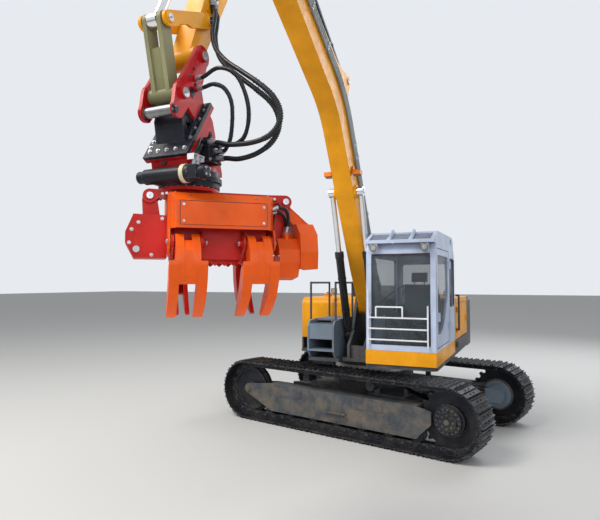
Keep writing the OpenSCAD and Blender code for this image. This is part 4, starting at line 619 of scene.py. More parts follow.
def addHitchHoses():
    for name, route in hoseRoutes.items():
        line = smoothPath([driveTop(*spot) for spot in route])
        hose = tubeOn(name, line, hoseFacts["short"], 4, "hose_rubber", "hitch")
        guard = guardOn(name + "Guard", line[len(line) // 4: len(line) * 3 // 4], 0.0155, 0.0032, 0.013)
        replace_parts(hose, "tool_hoses")


def addStickToToolHoses():
    radius = hoseFacts["long"]
    for name, route in stickRoutes.items():
        line = smoothPath([driveTop(*spot) for spot in route])
        bm = bmesh.new()
        addSweep(bm, line, radius, 14)
        hose = finishPiece(name, bm, "hose_rubber", None)
        guard = guardOn(name + "Guard", line[hoseFacts["guarded"]], radius + 0.001, 0.0042, 0.017)
        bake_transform(hose)


def addHoseEnds():
    bm = bmesh.new()
    for route in hoseRoutes.values():
        for spot in (route[0], route[-1]):
            ferrule(bm, driveTop(*spot), (0, 1, 0), hoseFacts["short"])
    for route in stickRoutes.values():
        ferrule(bm, driveTop(*route[-1]), (0, 1, 0), hoseFacts["long"])
    brightPiece("toolHoseEnds", bm, "hitch")
    bm = bmesh.new()
    for route in stickRoutes.values():
        start, after = driveTop(*route[0]), driveTop(*route[1])
        ferrule(bm, start, after - start, hoseFacts["long"])
    brightPiece("stickHoseTips", bm, "stick")


addHitchHoses()
addStickToToolHoses()
addHoseEnds()
print("stage: hoses")

# crawler: shoe bolts, chain links, hub and roller bolts, drive hoses

crawlerFacts = {"gauge": 2.05, "run": 3.44, "middle": 0.48, "shoeRadius": 0.438, "shoes": 51, "shoe": 0.014,
                "chain": 0.062, "linkDepth": 0.045, "linkLength": 0.15, "linkSide": 0.082, "boss": 0.026,
                "boltSize": 0.011, "face": 0.135}


def loopSpot(distance, lift):  # a point of the loop and its outward direction
    run, radius = crawlerFacts["run"], crawlerFacts["shoeRadius"]
    half = pi * radius
    if distance < run:
        return Vector((distance - run / 2, 0, radius + lift)), Vector((0, 0, 1))
    if run + half <= distance < 2 * run + half:
        return Vector((run / 2 - (distance - run - half), 0, -radius - lift)), Vector((0, 0, -1))
    if distance < run + half:
        turn, end = pi / 2 - (distance - run) / radius, run / 2
    else:
        turn, end = 3 * pi / 2 - (distance - 2 * run - half) / radius, -run / 2
    out = Vector((cos(turn), 0, sin(turn)))
    return Vector((end, 0, 0)) + out * (radius + lift), out


def addTrackParts():
    facts = crawlerFacts
    pitch = (2 * facts["run"] + 2 * pi * facts["shoeRadius"]) / facts["shoes"]
    for side, label in flanks:
        centre = Vector((0, side * facts["gauge"] / 2, facts["middle"]))
        bolts, links = bmesh.new(), bmesh.new()
        for shoe in range(facts["shoes"]):
            for share in (0.265, 0.665):
                spot, out = loopSpot((shoe + share) * pitch, facts["shoe"])
                for across in (-facts["chain"], facts["chain"]):
                    addBolt(bolts, centre + spot + Vector((0, across, 0)), out, facts["boltSize"], False)
            spot, out = loopSpot(shoe * pitch, -facts["linkDepth"])
            middle, middleOut = loopSpot(((shoe + 0.5) % facts["shoes"]) * pitch, -facts["linkDepth"])
            along = Vector((middleOut.z, 0, -middleOut.x))
            turn = moved(*(centre + middle)) @ Matrix((along, (0, 1, 0), middleOut)).transposed().to_4x4()
            half = facts["linkLength"] / 2
            for flank in (-1, 1):
                across = flank * facts["linkSide"]
                addStuds(links, centre + spot + Vector((0, across, 0)), Vector((0, flank, 0)),
                         (0, 0.012, facts["boss"], 12), (0, 0.0156, facts["boss"] * 0.55, 8))
                addBox(links, (-half, across, -0.028), (half, across + flank * 0.0066, 0.026), turn)
        finishPiece(label + "ShoeBolts", bolts, "track_steel", "undercarriage", matrix=crawlerFrame)
        finishPiece(label + "ChainLinks", links, "track_steel", "undercarriage", 0.002, 1, crawlerFrame)


def addCrawlerFittings():
    facts = crawlerFacts
    for side, label in flanks:
        bm = bmesh.new()
        out = Vector((0, side, 0))
        hub = Vector((facts["run"] / 2, side * facts["gauge"] / 2, facts["middle"]))
        for ring, face, count, size in ((0.15, 0.16, 16, 0.011), (0.085, 0.19, 8, 0.01)):
            addBolts(bm, moved(*hub), out, size, [(x, side * face, z) for x, z in ringOf(count, ring)])
        addStuds(bm, hub, out, (0.19, 0.206, 0.034, 24), (0.206, 0.214, 0.02, 6))
        cover = hub.y + side * facts["face"]
        rollers = [-1.285 + 0.425 * step for step in range(7)]
        addBolts(bm, moved(0, 0, 0), out, 0.01,
                 [(x + shift, cover, 0.206) for x in rollers for shift in (-0.034, 0.034)])
        idler = Vector((-facts["run"] / 2, hub.y + side * 0.157, facts["middle"]))
        addStuds(bm, idler, out, (0, 0.016, 0.044, 24, 0.038))
        idlerRing = [(x, -side * 0.001, z) for x, z in ringOf(4, 0.048, pi / 4)]
        addBolts(bm, moved(*idler), out, 0.006, idlerRing, False)
        low, high = cover - side * 0.002, cover + side * 0.008
        for left, right in ((-1.05, -0.62), (0.35, 0.78)):
            addBox(bm, (left, low, 0.44), (right, high, 0.58))
            corners = [(x, high, z) for x in (left + 0.03, right - 0.03) for z in (0.465, 0.555)]
            addBolts(bm, moved(0, 0, 0), out, 0.008, corners)
        addBox(bm, (-0.16, low, 0.33), (0.2, cover + side * 0.055, 0.348))
        finishPiece(label + "CrawlerFittings", bm, "chassis_grey", "undercarriage", 0.0015, 1, crawlerFrame)
        inner = side * (facts["gauge"] / 2 - 0.36)
        for number, lift in enumerate((0.03, 0.085, 0.14)):
            route = [(1.62, inner + side * 0.02, 0.46 + lift), (1.5, inner, 0.48 + lift),
                     (1.25, side * 0.56, 0.54 + lift * 0.6), (0.92, side * 0.44, 0.6 + lift * 0.3),
                     (0.66, side * (0.3 - 0.06 * number), 0.68)]
            line = smoothPath([at(crawlerFrame, *spot) for spot in route])
            tubeOn(label + "DriveHose" + str(number), line, 0.013, 3, "hose_rubber", "undercarriage")


addTrackParts()
addCrawlerFittings()
print("stage: crawler")

# cab: seals, wiper, inside fittings and the lamps' lenses

sealTable = [  # name, plane's axis and place, spans along the two other axes, corner's and seal's radius
    ("rearSideSeal", "y", 1246, (-310, 110), (1870, 2610), 0.06, 0.009),
    ("rightWindowSeal", "y", 294, (-290, 1260), (1730, 2610), 0.06, 0.009),
    ("rearWindowSeal", "x", -396, (400, 1140), (1930, 2550), 0.06, 0.009),
    ("roofHatchSeal", "z", 2783, (20, 930), (480, 1060), 0.05, 0.009),
    ("doorSeal", "y", 1246, (172, 1291), (1353, 2713), 0.07, 0.005),
]


def roundedLoop(corners, radius, steps=6):  # a closed line with round corners
    line = []
    for index, corner in enumerate(corners):
        before = (corners[index - 1] - corner).normalized()
        after = (corners[(index + 1) % len(corners)] - corner).normalized()
        start, end = corner + before * radius, corner + after * radius
        for step in range(steps + 1):
            t = step / steps
            line.append(start * (1 - t) ** 2 + corner * 2 * t * (1 - t) + end * t * t)
    line.append(line[0].copy())
    return line


def addCabTrim():
    for name, axis, value, (low0, high0), (low1, high1), corner, radius in sealTable:
        spots = [[low0, low1], [high0, low1], [high0, high1], [low0, high1]]
        for spot in spots:
            spot.insert("xyz".index(axis), value)
        tubeOn(name, roundedLoop([place(*spot) for spot in spots], corner), radius, 2, "black_plastic",
               "upper")
    bm = bmesh.new()
    for y in (372, 1168):  # dark strips round the windscreen
        placeBox(bm, (1350.3, y - 9, 1395), (1353, y + 9, 1812))
    for x, z in ((1350.3, 1400), (1332, 2629)):
        placeBox(bm, (x, 366, z - 9), (x + 3, 1174, z + 9))
    finishPiece("windscreenSeal", bm, "black_plastic", "upper")
    bm = bmesh.new()
    pivot, tip = place(1362, 1090, 1452), place(1352, 640, 2010)
    addRod(bm, place(1344, 1090, 1452), place(1370, 1090, 1452), 0.02, 16)
    addRod(bm, pivot, tip, 0.007, 8)
    addRod(bm, tip + mm(2, -190, -60), tip + mm(2, 190, 200), 0.006, 8)
    finishPiece("wiper", bm, "black_plastic", "upper")


def addCabInside():
    bm = bmesh.new()
    placeBox(bm, (1040, 1085, 1830), (1075, 1195, 1990))
    addRod(bm, place(1060, 1140, 1700), place(1060, 1150, 1835), 0.012, 10)
    finishPiece("monitor", bm, "black_plastic", "upper", 0.006)
    bm = bmesh.new()
    placeBox(bm, (1036, 1095, 1845), (1039.5, 1185, 1975))
    finishPiece("monitorFace", bm, "lamp_grey", "upper")
    bm = bmesh.new()
    for side in (-1, 1):  # rubber boots under the levers, and their buttons
        base = place(510, 750 + side * 340, 1772)
        for ring in range(4):
            addRod(bm, base + mm(0, 0, ring * 16), base + mm(0, 0, ring * 16 + 17), 0.046 - ring * 0.008, 18,
                   0.036 - ring * 0.007)
        for button in (-12, 0, 12):
            addRod(bm, base + mm(-30, button, 120), base + mm(-40, button, 124), 0.005, 8)
    placeBox(bm, (300, 340, 1353), (1290, 1200, 1359))
    for x in range(640, 1140, 62):  # the floor mat's ribs
        placeBox(bm, (x, 420, 1359), (x + 24, 1120, 1363))
    finishPiece("leverBoots", bm, "black_plastic", "upper", 0.0015, 1)
    bm = bmesh.new()
    placeBox(bm, (-352, 380, 1360), (-60, 1190, 1880))
    placeBox(bm, (-352, 700, 1880), (-200, 1190, 1960))
    finishPiece("rearConsole", bm, "black_plastic", "upper", 0.02, 3)
    bm = bmesh.new()
    for y in (336, 1202):
        placeBox(bm, (1180, y - 6, 1700), (1250, y + 6, 2600))
    finishPiece("pillarTrim", bm, "black_plastic", "upper", 0.004)


def addLampLens(name, matrix, radius, body):
    bm = bmesh.new()
    bmesh.ops.create_uvsphere(bm, u_segments=28, v_segments=10, radius=radius,
                              matrix=matrix @ Matrix.Diagonal((0.16, 1, 1, 1)))
    finishPiece(name + "Lens", bm, "lamp_grey", body, soft=60, finish="lensGlass")
    bm = bmesh.new()
    rim = [at(matrix, 0.002, y, z) for y, z in ringOf(28, radius * 1.04)]
    for start, end in zip(rim, rim[1:] + rim[:1]):
        addRod(bm, start, end, 0.004, 8)
    for step in range(-2, 3):
        across = step * radius * 0.38
        reach = sqrt(radius * radius - across * across) * 1.02
        addRod(bm, at(matrix, 0.012, across, -reach), at(matrix, 0.012, across, reach), 0.0022, 6)
    finishPiece(name + "Grid", bm, "black_plastic", body)


addCabTrim()
addCabInside()
for lampName, spot, radius in (("rightCabLamp", (1423, 420, 2718), 0.042),
                               ("leftCabLamp", (1423, 1120, 2718), 0.042),
                               ("tankLamp", (-1131, -1130, 2075), 0.044)):
    addLampLens(lampName, moved(*place(*spot)), radius, "upper")
for side, label in flanks:
    lampTurn = boomFrame @ moved(2.31, side * 0.2113, -0.14) @ turned(150, "Y") @ moved(0.0695, 0, 0)
    addLampLens(label + "BoomLamp", lampTurn, 0.045, "boom")
print("stage: cab")

# seat: a cushion, a back and a head rest, crowned and sewn, over the CAD seat's space

seatTilt = -8


def addSeatPad(name, low, high, tilt, channels):
    bm = bmesh.new()
    addBox(bm, low, high)
    bmesh.ops.subdivide_edges(bm, edges=bm.edges, cuts=23, use_grid_fill=True)
    centre = (Vector(low) + Vector(high)) / 2
    half = (Vector(high) - Vector(low)) / 2
    thin = min(range(3), key=lambda axis: half[axis])
    wide = [axis for axis in range(3) if axis != thin]
    for vert in bm.verts:
        local = vert.co - centre
        share = [local[axis] / half[axis] for axis in range(3)]
        crown = (1 - share[wide[0]] ** 4) * (1 - share[wide[1]] ** 4)
        seam = sum(max(0, 1 - abs(share[1] - line) / 0.035) for line in channels) * 0.16
        local[thin] *= 0.62 + 0.38 * crown - seam * crown
        for axis in wide:
            other = share[wide[0] if axis == wide[1] else wide[1]]
            local[axis] *= 1 - 0.035 * (1 - other * other) * (1 - abs(share[thin]))
            local[axis] *= 1 - 0.05 * abs(share[thin]) ** 3
        vert.co = centre + local
    for step in range(2):
        bmesh.ops.smooth_vert(bm, verts=bm.verts, factor=0.4, use_axis_x=True, use_axis_y=True,
                              use_axis_z=True)
    piece = finishPiece(name, bm, "seat_black", "upper", matrix=seatFrame @ turned(tilt, "Y"), soft=80)


def addSeatBase():
    bm = bmesh.new()
    for low, high in ((0, 60), (178, 231)):
        addBox(bm, mm(-150, -160, low), mm(180, 160, high))
    for level in range(6):  # the suspension's bellows
        inset = level % 2 * 10
        addBox(bm, mm(inset - 140, inset - 150, 58 + level * 20),
               mm(170 - inset, 150 - inset, 79 + level * 20))
    for y in (-80, 80):
        stalk = [turned(seatTilt, "Y") @ mm(-195, y, z) for z in (880, 945)]
        addRod(bm, *stalk, 0.009, 12)
    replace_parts(finishPiece("seatBase", bm, "black_plastic", "upper", 0.004, matrix=seatFrame),
                "operator_seat")


addSeatPad("seatCushion", mm(-225, -250, 232), mm(288, 250, 358), 0, (-0.5, 0.5))
addSeatPad("seatBack", mm(-248, -236, 345), mm(-124, 236, 896), seatTilt, (-0.5, 0.5))
addSeatPad("headRest", mm(-234, -128, 932), mm(-152, 128, 1086), seatTilt, ())
addSeatBase()
print("stage: seat")

# cylinders: gland bolts, wiper rings, pipes and bands

boomCylinder = frameAt(640, 1430, 71.87)
cylinderTable = [  # name, frame, barrel's body, barrel radius, rod radius, barrel length, side of the pipe
    ("rightBoomCylinder", boomCylinder @ moved(0, -0.214, 0), "boom_barrels", 0.06, 0.038, 1.33, -1),
    ("leftBoomCylinder", boomCylinder @ moved(0, 0.214, 0), "boom_barrels", 0.06, 0.038, 1.33, -1),
    ("stickCylinder", frameAt(1544.35, 5054.39, 31.37), "stick_barrel", 0.074, 0.053, 1.93, 1),
    ("toolCylinder", stickFrame @ moved(0.34, 0, 0.4) @ turned(0.54, "Y"), "tool_barrel", 0.062, 0.04,
     1.24, 1),
]


def addCylinderFittings(name, axis, body, barrel, rod, length, side):
    facts = {"boltSize": 0.007, "pipe": 0.009, "lift": 0.03, "foot": 0.17, "gland": 0.045,
             "bands": (0.3, 0.68)}
    along = axis @ turned(90, "Y") @ turned(90, "Z")
    metal, rubber = bmesh.new(), bmesh.new()
    heads = [(length, y, z) for y, z in ringOf(8, (rod + barrel + 0.007) / 2, pi / 8)]
    addBolts(metal, axis, (1, 0, 0), facts["boltSize"], heads, False)
    inner, outer = rod + 0.0015, rod + 0.012
    addTurned(rubber, along, [(inner, length + 0.0002), (outer, length + 0.0002),
                              (outer - 0.003, length + 0.01), (inner, length + 0.012)])
    top = barrel + facts["lift"]
    for start in [length * share for share in facts["bands"]]:
        addTurned(metal, along, collar(barrel + 0.0002, barrel + 0.005, start, start + 0.028))
        addBox(metal, (start, -0.022, side * (barrel + 0.003)), (start + 0.028, 0.022, side * (top + 0.002)),
               axis)
        addBolts(metal, axis, (0, 0, side), 0.006, [(start + 0.014, -0.013, side * (top + 0.002))])
    foot, gland = facts["foot"], length - facts["gland"]
    for x in (foot, gland):
        addBox(metal, (x - 0.021, -0.021, side * (barrel - 0.004)),
               (x + 0.021, 0.021, side * (barrel + 0.018)), axis)
    route = [(foot, barrel + 0.01), (foot + 0.006, barrel + 0.024), (foot + 0.05, top), (length * 0.3, top),
             (length * 0.6, top), (gland - 0.05, top), (gland - 0.006, barrel + 0.026),
             (gland, barrel + 0.012)]
    addSweep(metal, smoothPath([at(axis, x, 0, side * z) for x, z in route], 6), facts["pipe"])
    finishPiece(name + "Fittings", metal, "cylinder_black", body, 0.0012, 1)
    finishPiece(name + "Wiper", rubber, "black_plastic", body)


for row in cylinderTable:
    addCylinderFittings(*row)
print("stage: cylinders")

# pin ends: a bright face in each cap, with a grease nipple and its bolts

pinTable = [  # name, frame, x, z, face's distance from the middle, radius, body, bolts
    ("boomFoot", wholeFrame, 0.2, 1.88, 0.214, 0.056, "upper", 6),
    ("boomTip", boomFrame, 5.5458, -1.3494, 0.151, 0.036, "boom", 3),
    ("stickCylinderFoot", boomFrame, 3.4213, 0.423, 0.122, 0.036, "boom", 2),
    ("stickLever", stickFrame, -0.56, 0.19, 0.1, 0.032, "stick", 2),
    ("toolCylinderFoot", stickFrame, 0.34, 0.4, 0.1, 0.032, "stick", 2),
    ("rockerFoot", stickFrame, 1.87, 0.02, 0.134, 0.032, "rocker", 2),
    ("rockerElbow", stickFrame, 2.2709, 0.3818, 0.134, 0.03, "rocker", 2),
    ("hitchStick", plateFrame, -0.539, 0.258, 0.182, 0.036, "hitch", 2),
    ("hitchLink", plateFrame, -0.109, 0.258, 0.182, 0.036, "hitch", 2),
    ("boomCylinderFoot", wholeFrame, 0.64, 1.43, 0.262, 0.026, "upper", 0),
    ("boomCylinderEye", boomFrame, 2.000, -0.15, 0.2543, 0.045, "boom_rods", 3),
]


def addPinEnds(name, matrix, x, z, face, radius, body, bolts):
    bm = bmesh.new()
    for side in (-1, 1):
        addStuds(bm, at(matrix, x, side * face, z), way(matrix, 0, side, 0),
                 (0, 0.004, radius, 28, radius * 0.96), (0.004, 0.01, 0.006, 8))
        if bolts:
            spots = [(x + a, side * (face + 0.004), z + b) for a, b in ringOf(bolts, radius * 0.62, 0.6)]
            addBolts(bm, matrix, (0, side, 0), radius * 0.17, spots, False)
    brightPiece(name + "PinEnds", bm, body, 0.001)


for row in pinTable:
    addPinEnds(*row)
print("stage: pin ends")

# boom: pipes up the lower leg's end and round the bend, their clamps, welded pads and eyes

pipeFacts = {"levels": (0.04, 0.088, 0.136), "y": 0.156, "radius": 0.017, "start": 2.6, "upper": 1.55}


def boomPipeRoute(level):  # from the lower leg's clamp to near the tip
    bend, reach = radians(boomBend["degrees"]), boomBend["radius"] + level
    line = [(pipeFacts["start"], level), (boomBend["x"] - 0.02, level)]
    for step in range(1, 9):
        turn = bend * step / 8
        line.append((boomBend["x"] + reach * sin(turn), boomBend["z"] + reach * cos(turn)))
    x, z = line[-1]
    for run in (pipeFacts["upper"] / 2, pipeFacts["upper"]):
        line.append((x + cos(bend) * run, z - sin(bend) * run))
    return [at(boomFrame, x, pipeFacts["y"], z) for x, z in line]


def addBoomPiping():
    facts = {"side": 0.1353, "cap": (0.1725, 0.1765)}
    bm, clamps = bmesh.new(), bmesh.new()
    for level in pipeFacts["levels"]:
        addSweep(bm, boomPipeRoute(level), pipeFacts["radius"], 14)
        for x in (0.505, 2.606):  # union nuts on the pipes' ends
            addStuds(bm, at(boomFrame, x, pipeFacts["y"], level), way(boomFrame, 1, 0, 0),
                     (0, 0.026, 0.024, 6))
    finishPiece("boomPipeRun", bm, "pipe_grey", "boom")
    for matrix, level, spots in ((boomFrame, 0.0, (0.646, 1.506, 2.406)),
                                 (bendFrame, 1.5, (0.3, 0.86, 1.42))):
        for x in spots:
            if matrix is bendFrame:
                addBox(clamps, (x, facts["side"], level + 0.015), (x + 0.05, 0.157, level + 0.165), matrix)
            addBox(clamps, (x + 0.004, facts["cap"][0], level + 0.018),
                   (x + 0.044, facts["cap"][1], level + 0.16), matrix)
            addBolts(clamps, matrix, (0, 1, 0), 0.008,
                     [(x + 0.024, facts["cap"][1], level + z) for z in (0.064, 0.112)])
    finishPiece("boomPipeClamps", clamps, "pipe_grey", "boom", 0.001, 1)


def addBoomPads():  # doubler plates, bosses and lifting eyes
    bm = bmesh.new()
    for side in (-1, 1):
        low, high = side * 0.1345, side * 0.143
        addBox(bm, (0.1, low, -0.12), (0.42, high, 0.12), boomFrame)
        addBox(bm, (-0.62, low, -0.08), (-0.2, high, 0.09), boomTipFrame)
        addRod(bm, at(boomFrame, 1.2, side * 0.134, 0), at(boomFrame, 1.2, side * 0.142, 0), 0.05, 28)
    for x, z, tilt in ((0.9, 0.225, 0), (4.55, -0.49, boomBend["degrees"])):
        eye = boomFrame @ moved(x, 0, z) @ turned(tilt, "Y") @ turned(90, "X")
        addTurned(bm, eye, collar(0.026, 0.044, -0.011, 0.011), 24)
    finishPiece("boomPads", bm, "machine_yellow", "boom", 0.0015)


addBoomPiping()
addBoomPads()
print("stage: boom")

# stick: a hose pair along its left flank with clips and end fittings, welded pads and eyes

stickFacts = {"half": 0.088, "hose": 0.014, "rows": (0.06, 0.1), "y": 0.104, "clips": (0.55, 1.05, 1.55)}


def addStickHoses():
    facts = stickFacts
    half = facts["half"]
    clips = bmesh.new()
    for number, row in enumerate(facts["rows"]):
        route = [(-0.02, row + 0.05), (0.25, row + 0.02), (0.6, row), (1.1, row - 0.02),
                 (1.6, row - 0.045), (1.68, row - 0.05)]
        line = smoothPath([at(stickFrame, x, facts["y"], z) for x, z in route], 6)
        tubeOn("stickHose" + str(number), line, facts["hose"], 3, "hose_rubber", "stick")
    for x in facts["clips"]:
        clip = stickFrame @ moved(x, half, -0.02 * (x - 0.25))
        addBox(clips, (0, 0.0003, 0.03), (0.036, 0.003, 0.13), clip)
        addBox(clips, (0, 0.029, 0.04), (0.036, 0.0335, 0.12), clip)
        for z in (0.038, 0.08, 0.122):
            addBox(clips, (0.008, 0, z - 0.004), (0.028, 0.031, z + 0.004), clip)
        addBolts(clips, clip, (0, 1, 0), 0.007, [(0.018, 0.0335, 0.08)])
    finishPiece("stickHoseClips", clips, "pipe_grey", "stick", 0.0008, 1)
    for number, row in enumerate(facts["rows"]):  # bulkhead ends at the stick's foot and tip
        bm = bmesh.new()
        for x, lift, direction in ((0.01, 0.05, -1), (1.65, -0.05, 1)):
            ferrule(bm, at(stickFrame, x, facts["y"], row + lift), way(stickFrame, direction, 0, 0),
                    facts["hose"])
        brightPiece("stickHoseEnds" + str(number), bm, "stick")
    bm = bmesh.new()
    for side in (-1, 1):
        low, high = side * 0.0875, side * 0.096
        addBox(bm, (-0.1, low, -0.09), (0.2, high, 0.16), stickFrame)
        addBox(bm, (1.7, low, -0.062), (1.78, high, 0.062), stickFrame)
    for x in (0.95, 1.35):
        eye = stickFrame @ moved(x, 0, 0.168 - (x - 0.7) * 0.07) @ turned(90, "X")
        addTurned(bm, eye, collar(0.018, 0.032, -0.009, 0.009), 20)
    finishPiece("stickPads", bm, "machine_yellow", "stick", 0.0015)


addStickHoses()
print("stage: stick")

# hitch: plate bolts, sleeves, cheek fittings, the wedge's knob, the drive's and the block's fittings


def addPlateBolts():
    facts = {"face": 0.0283, "bolt": 0.013, "edge": 0.168}
    bm = bmesh.new()
    spots = [(0.215, y) for y in (-0.155, -0.08, 0.0, 0.08, 0.16)] + [(0.172, -facts["edge"])]
    spots += [(x, side * facts["edge"]) for x in (0.11, 0.01, -0.09, -0.19) for side in (-1, 1)]
    spots += [(-0.245, y) for y in (-0.15, -0.075, 0.075, 0.15)]
    addBolts(bm, plateFrame, (0, 0, 1), facts["bolt"], [(x, y, facts["face"]) for x, y in spots])
    addBolts(bm, plateFrame, (0, 0, -1), facts["bolt"] * 0.9, [(x, y, -facts["face"]) for x, y in spots],
             False)
    brightPiece("plateBolts", bm, "hitch", 0.0008)


def addHookSleeve():
    facts = {"half": 0.1295, "flange": 0.012, "thick": 0.006}
    bm = bmesh.new()
    for x, z, radius in ((-0.539, 0.258, 0.0445), (0.032, 0.233, 0.0365)):
        centre = plateFrame @ moved(x, 0, z) @ turned(-90, "X")
        for start in (-facts["half"], facts["half"] - facts["thick"]):
            addTurned(bm, centre, collar(radius, radius + facts["flange"], start, start + facts["thick"]), 28)
    addTurned(bm, centre, [(0.0363, -0.123), (0.04, -0.12), (0.04, 0.12), (0.0363, 0.123)], 32)
    finishPiece("hookSleeve", bm, "bar_steel", "hitch", 0.0006, 1)


def addCheekFittings():
    bm = bmesh.new()
    for side in (-1, 1):
        out = (0, side, 0)
        square = [(x, side * 0.158, z) for x in (-0.36, -0.28) for z in (0.2, 0.28)]
        addBolts(bm, plateFrame, out, 0.009, square)
        addBox(bm, (-0.225, side * 0.1578, 0.165), (-0.165, side * 0.163, 0.225), plateFrame)
        addBolts(bm, plateFrame, out, 0.01, [(-0.195, side * 0.163, 0.195)])
    addBox(bm, (0.06, 0.1578, 0.25), (0.105, 0.19, 0.282), plateFrame)
    addRod(bm, at(plateFrame, 0.082, 0.172, 0.28), at(plateFrame, 0.082, 0.172, 0.315), 0.01, 12)
    finishPiece("cheekFittings", bm, "drive_black", "hitch", 0.0012, 1)
    bm = bmesh.new()  # on the wedge's front face
    addStuds(bm, driveTop(232, -40, 52), Vector((1, 0, 0)), (-0.03, 0.012, 0.02, 20),
             (0.01, 0.036, 0.03, 12, 0.026))
    finishPiece("wedgeKnob", bm, "black_plastic", "hitch", 0.002)


def addDriveFittings():
    facts = {"worm": 0.285, "axis": -0.061, "bolts": 24, "top": 0.224, "ring": 0.218, "plate": 0.12}
    worm = driveFrame @ moved(facts["worm"], 0, facts["axis"])
    bm = bmesh.new()
    top = [(x, y, 0) for x, y in ringOf(facts["bolts"], facts["top"]) if x < facts["plate"]]
    addBolts(bm, driveFrame, (0, 0, 1), 0.009, top, False)
    low = [(x, y, -0.1222) for x, y in ringOf(facts["bolts"], facts["ring"])]
    addBolts(bm, driveFrame, (0, 0, -1), 0.008, low, False)
    for y, side in ((-0.2405, -1), (0.3665, 1)):
        addBolts(bm, worm, (0, side, 0), 0.007, [(x, y, z) for x, z in ringOf(4, 0.032, pi / 4)])
    addBolts(bm, worm, (0, 1, 0), 0.006, [(x, 0.2235, z) for x, z in ringOf(6, 0.054)], False)
    brightPiece("driveBolts", bm, "hitch")
    along = worm @ turned(-90, "X")
    bm = bmesh.new()
    addTurned(bm, along, [(0.0662, 0.158), (0.0685, 0.16), (0.0685, 0.192), (0.0662, 0.194)], 40)
    finishPiece("driveBand", bm, "guard_white", "hitch", finish="creamBand")
    bm = bmesh.new()  # hydraulic motor on the worm's end
    addTurned(bm, along, collar(0.001, 0.064, 0.1965, 0.2235), 40)
    addBox(bm, (0.23, 0.223, -0.112), (0.34, 0.305, -0.01), driveFrame)
    addTurned(bm, along, [(0.001, 0.304), (0.05, 0.304), (0.05, 0.35), (0.04, 0.3665), (0.001, 0.3665)],
              36)
    finishPiece("slewMotor", bm, "drive_black", "hitch", 0.004)


def addMotorHoses():
    facts = {"ports": (0.262, 0.308), "y": 0.262}
    bm = bmesh.new()
    for x in facts["ports"]:
        addStuds(bm, at(driveFrame, x, facts["y"], -0.012), Vector((0, 0, 1)), (0, 0.02, 0.015, 6),
                 (0.018, 0.042, 0.012, 18))
    brightPiece("slewMotorPorts", bm, "hitch", 0.0006)
    for number, x in enumerate(facts["ports"]):
        level = 0.165 + 0.035 * number
        route = [(x, facts["y"], 0.026), (x, facts["y"], 0.061), (0.235 + 0.03 * number, facts["y"], 0.12),
                 (0.18 + 0.02 * number, 0.24, level), (0.112, 0.215, level)]
        line = smoothPath([at(driveFrame, *spot) for spot in route])
        tubeOn("slewMotorHose" + str(number), line, 0.01, 3, "hose_rubber", "hitch")
    bm = bmesh.new()  # pale clip that holds the motor's hoses
    addBox(bm, (0.222, 0.232, 0.06), (0.345, 0.29, 0.064), driveFrame)
    for x in (0.222, 0.281, 0.341):
        addBox(bm, (x, 0.232, 0.022), (x + 0.004, 0.29, 0.06), driveFrame)
    finishPiece("hoseClip", bm, "guard_white", "hitch", 0.0008, 1)


def addBlockFittings():
    bm = bmesh.new()
    addBolts(bm, driveFrame, (0, 1, 0), 0.009,
             [(x, 0.2553, z) for x in (-0.044, 0.094) for z in (0.078, 0.212)])
    addRod(bm, driveTop(60, 275, 145), driveTop(60, 288, 145), 0.022, 24)
    addBolts(bm, driveFrame, (1, 0, 0), 0.008, [(0.11, 0.21, z) for z in (0.09, 0.2)])
    brightPiece("blockBolts", bm, "hitch", 0.0008)
    bm = bmesh.new()
    addBox(bm, driveTop(-52, 255.0, 64), driveTop(-20, 262, 226))
    addBox(bm, driveTop(-60, 175, 230), driveTop(80, 245, 252))
    addStuds(bm, driveTop(30, 210, 250), Vector((0, 0, 1)), (0, 0.036, 0.017, 6), (0.034, 0.052, 0.012, 16))
    finishPiece("blockCover", bm, "drive_black", "hitch", 0.002)


addPlateBolts()
addHookSleeve()
addCheekFittings()
addDriveFittings()
addMotorHoses()
addBlockFittings()
print("stage: hitch")

# head: bright pin ends, bolts, panel seam, the saw's cover, fittings, hoses and chain

headFacts = {"coverFace": 0.356, "coverTop": -0.19, "armX": 0.265, "armZ": -0.55, "row": 0.261,
             "pinHalf": 0.138, "yokeFace": 0.156, "hangY": 0.52, "hangZ": -0.202, "plateFace": 0.1402}


def addHeadPins():
    facts = headFacts
    bm = bmesh.new()
    for end in (-1, 1):
        out = way(headFrame, end, 0, 0)
        for side in (-1, 1):
            spot = at(headFrame, end * facts["yokeFace"], side * facts["hangY"], facts["hangZ"])
            addStuds(bm, spot, out, (0, 0.004, 0.026, 28, 0.025), (0.004, 0.012, 0.005, 8))
            keeper = [(0.4, 0.024), (0.43, 0.018)]
            addBolts(bm, headFrame, (end, 0, 0), 0.008,
                     [(end * facts["plateFace"], side * y, facts["hangZ"] + lift) for y, lift in keeper])
    brightPiece("yokePins", bm, "head", 0.0008)
    bm = bmesh.new()
    for row in (-facts["row"], facts["row"]):
        for x in (-facts["armX"], facts["armX"]):
            for side in (-1, 1):
                addStuds(bm, at(headFrame, x, row + side * facts["pinHalf"], facts["armZ"]),
                         way(headFrame, 0, side, 0), (0, 0.007, 0.022, 28, 0.02), (0.007, 0.014, 0.005, 8))
    addStuds(bm, at(headFrame, 0.1522, -0.612, -0.6), way(headFrame, 1, 0, 0), (0, 0.006, 0.026, 28, 0.024))
    brightPiece("armPins", bm, "head", 0.0008)


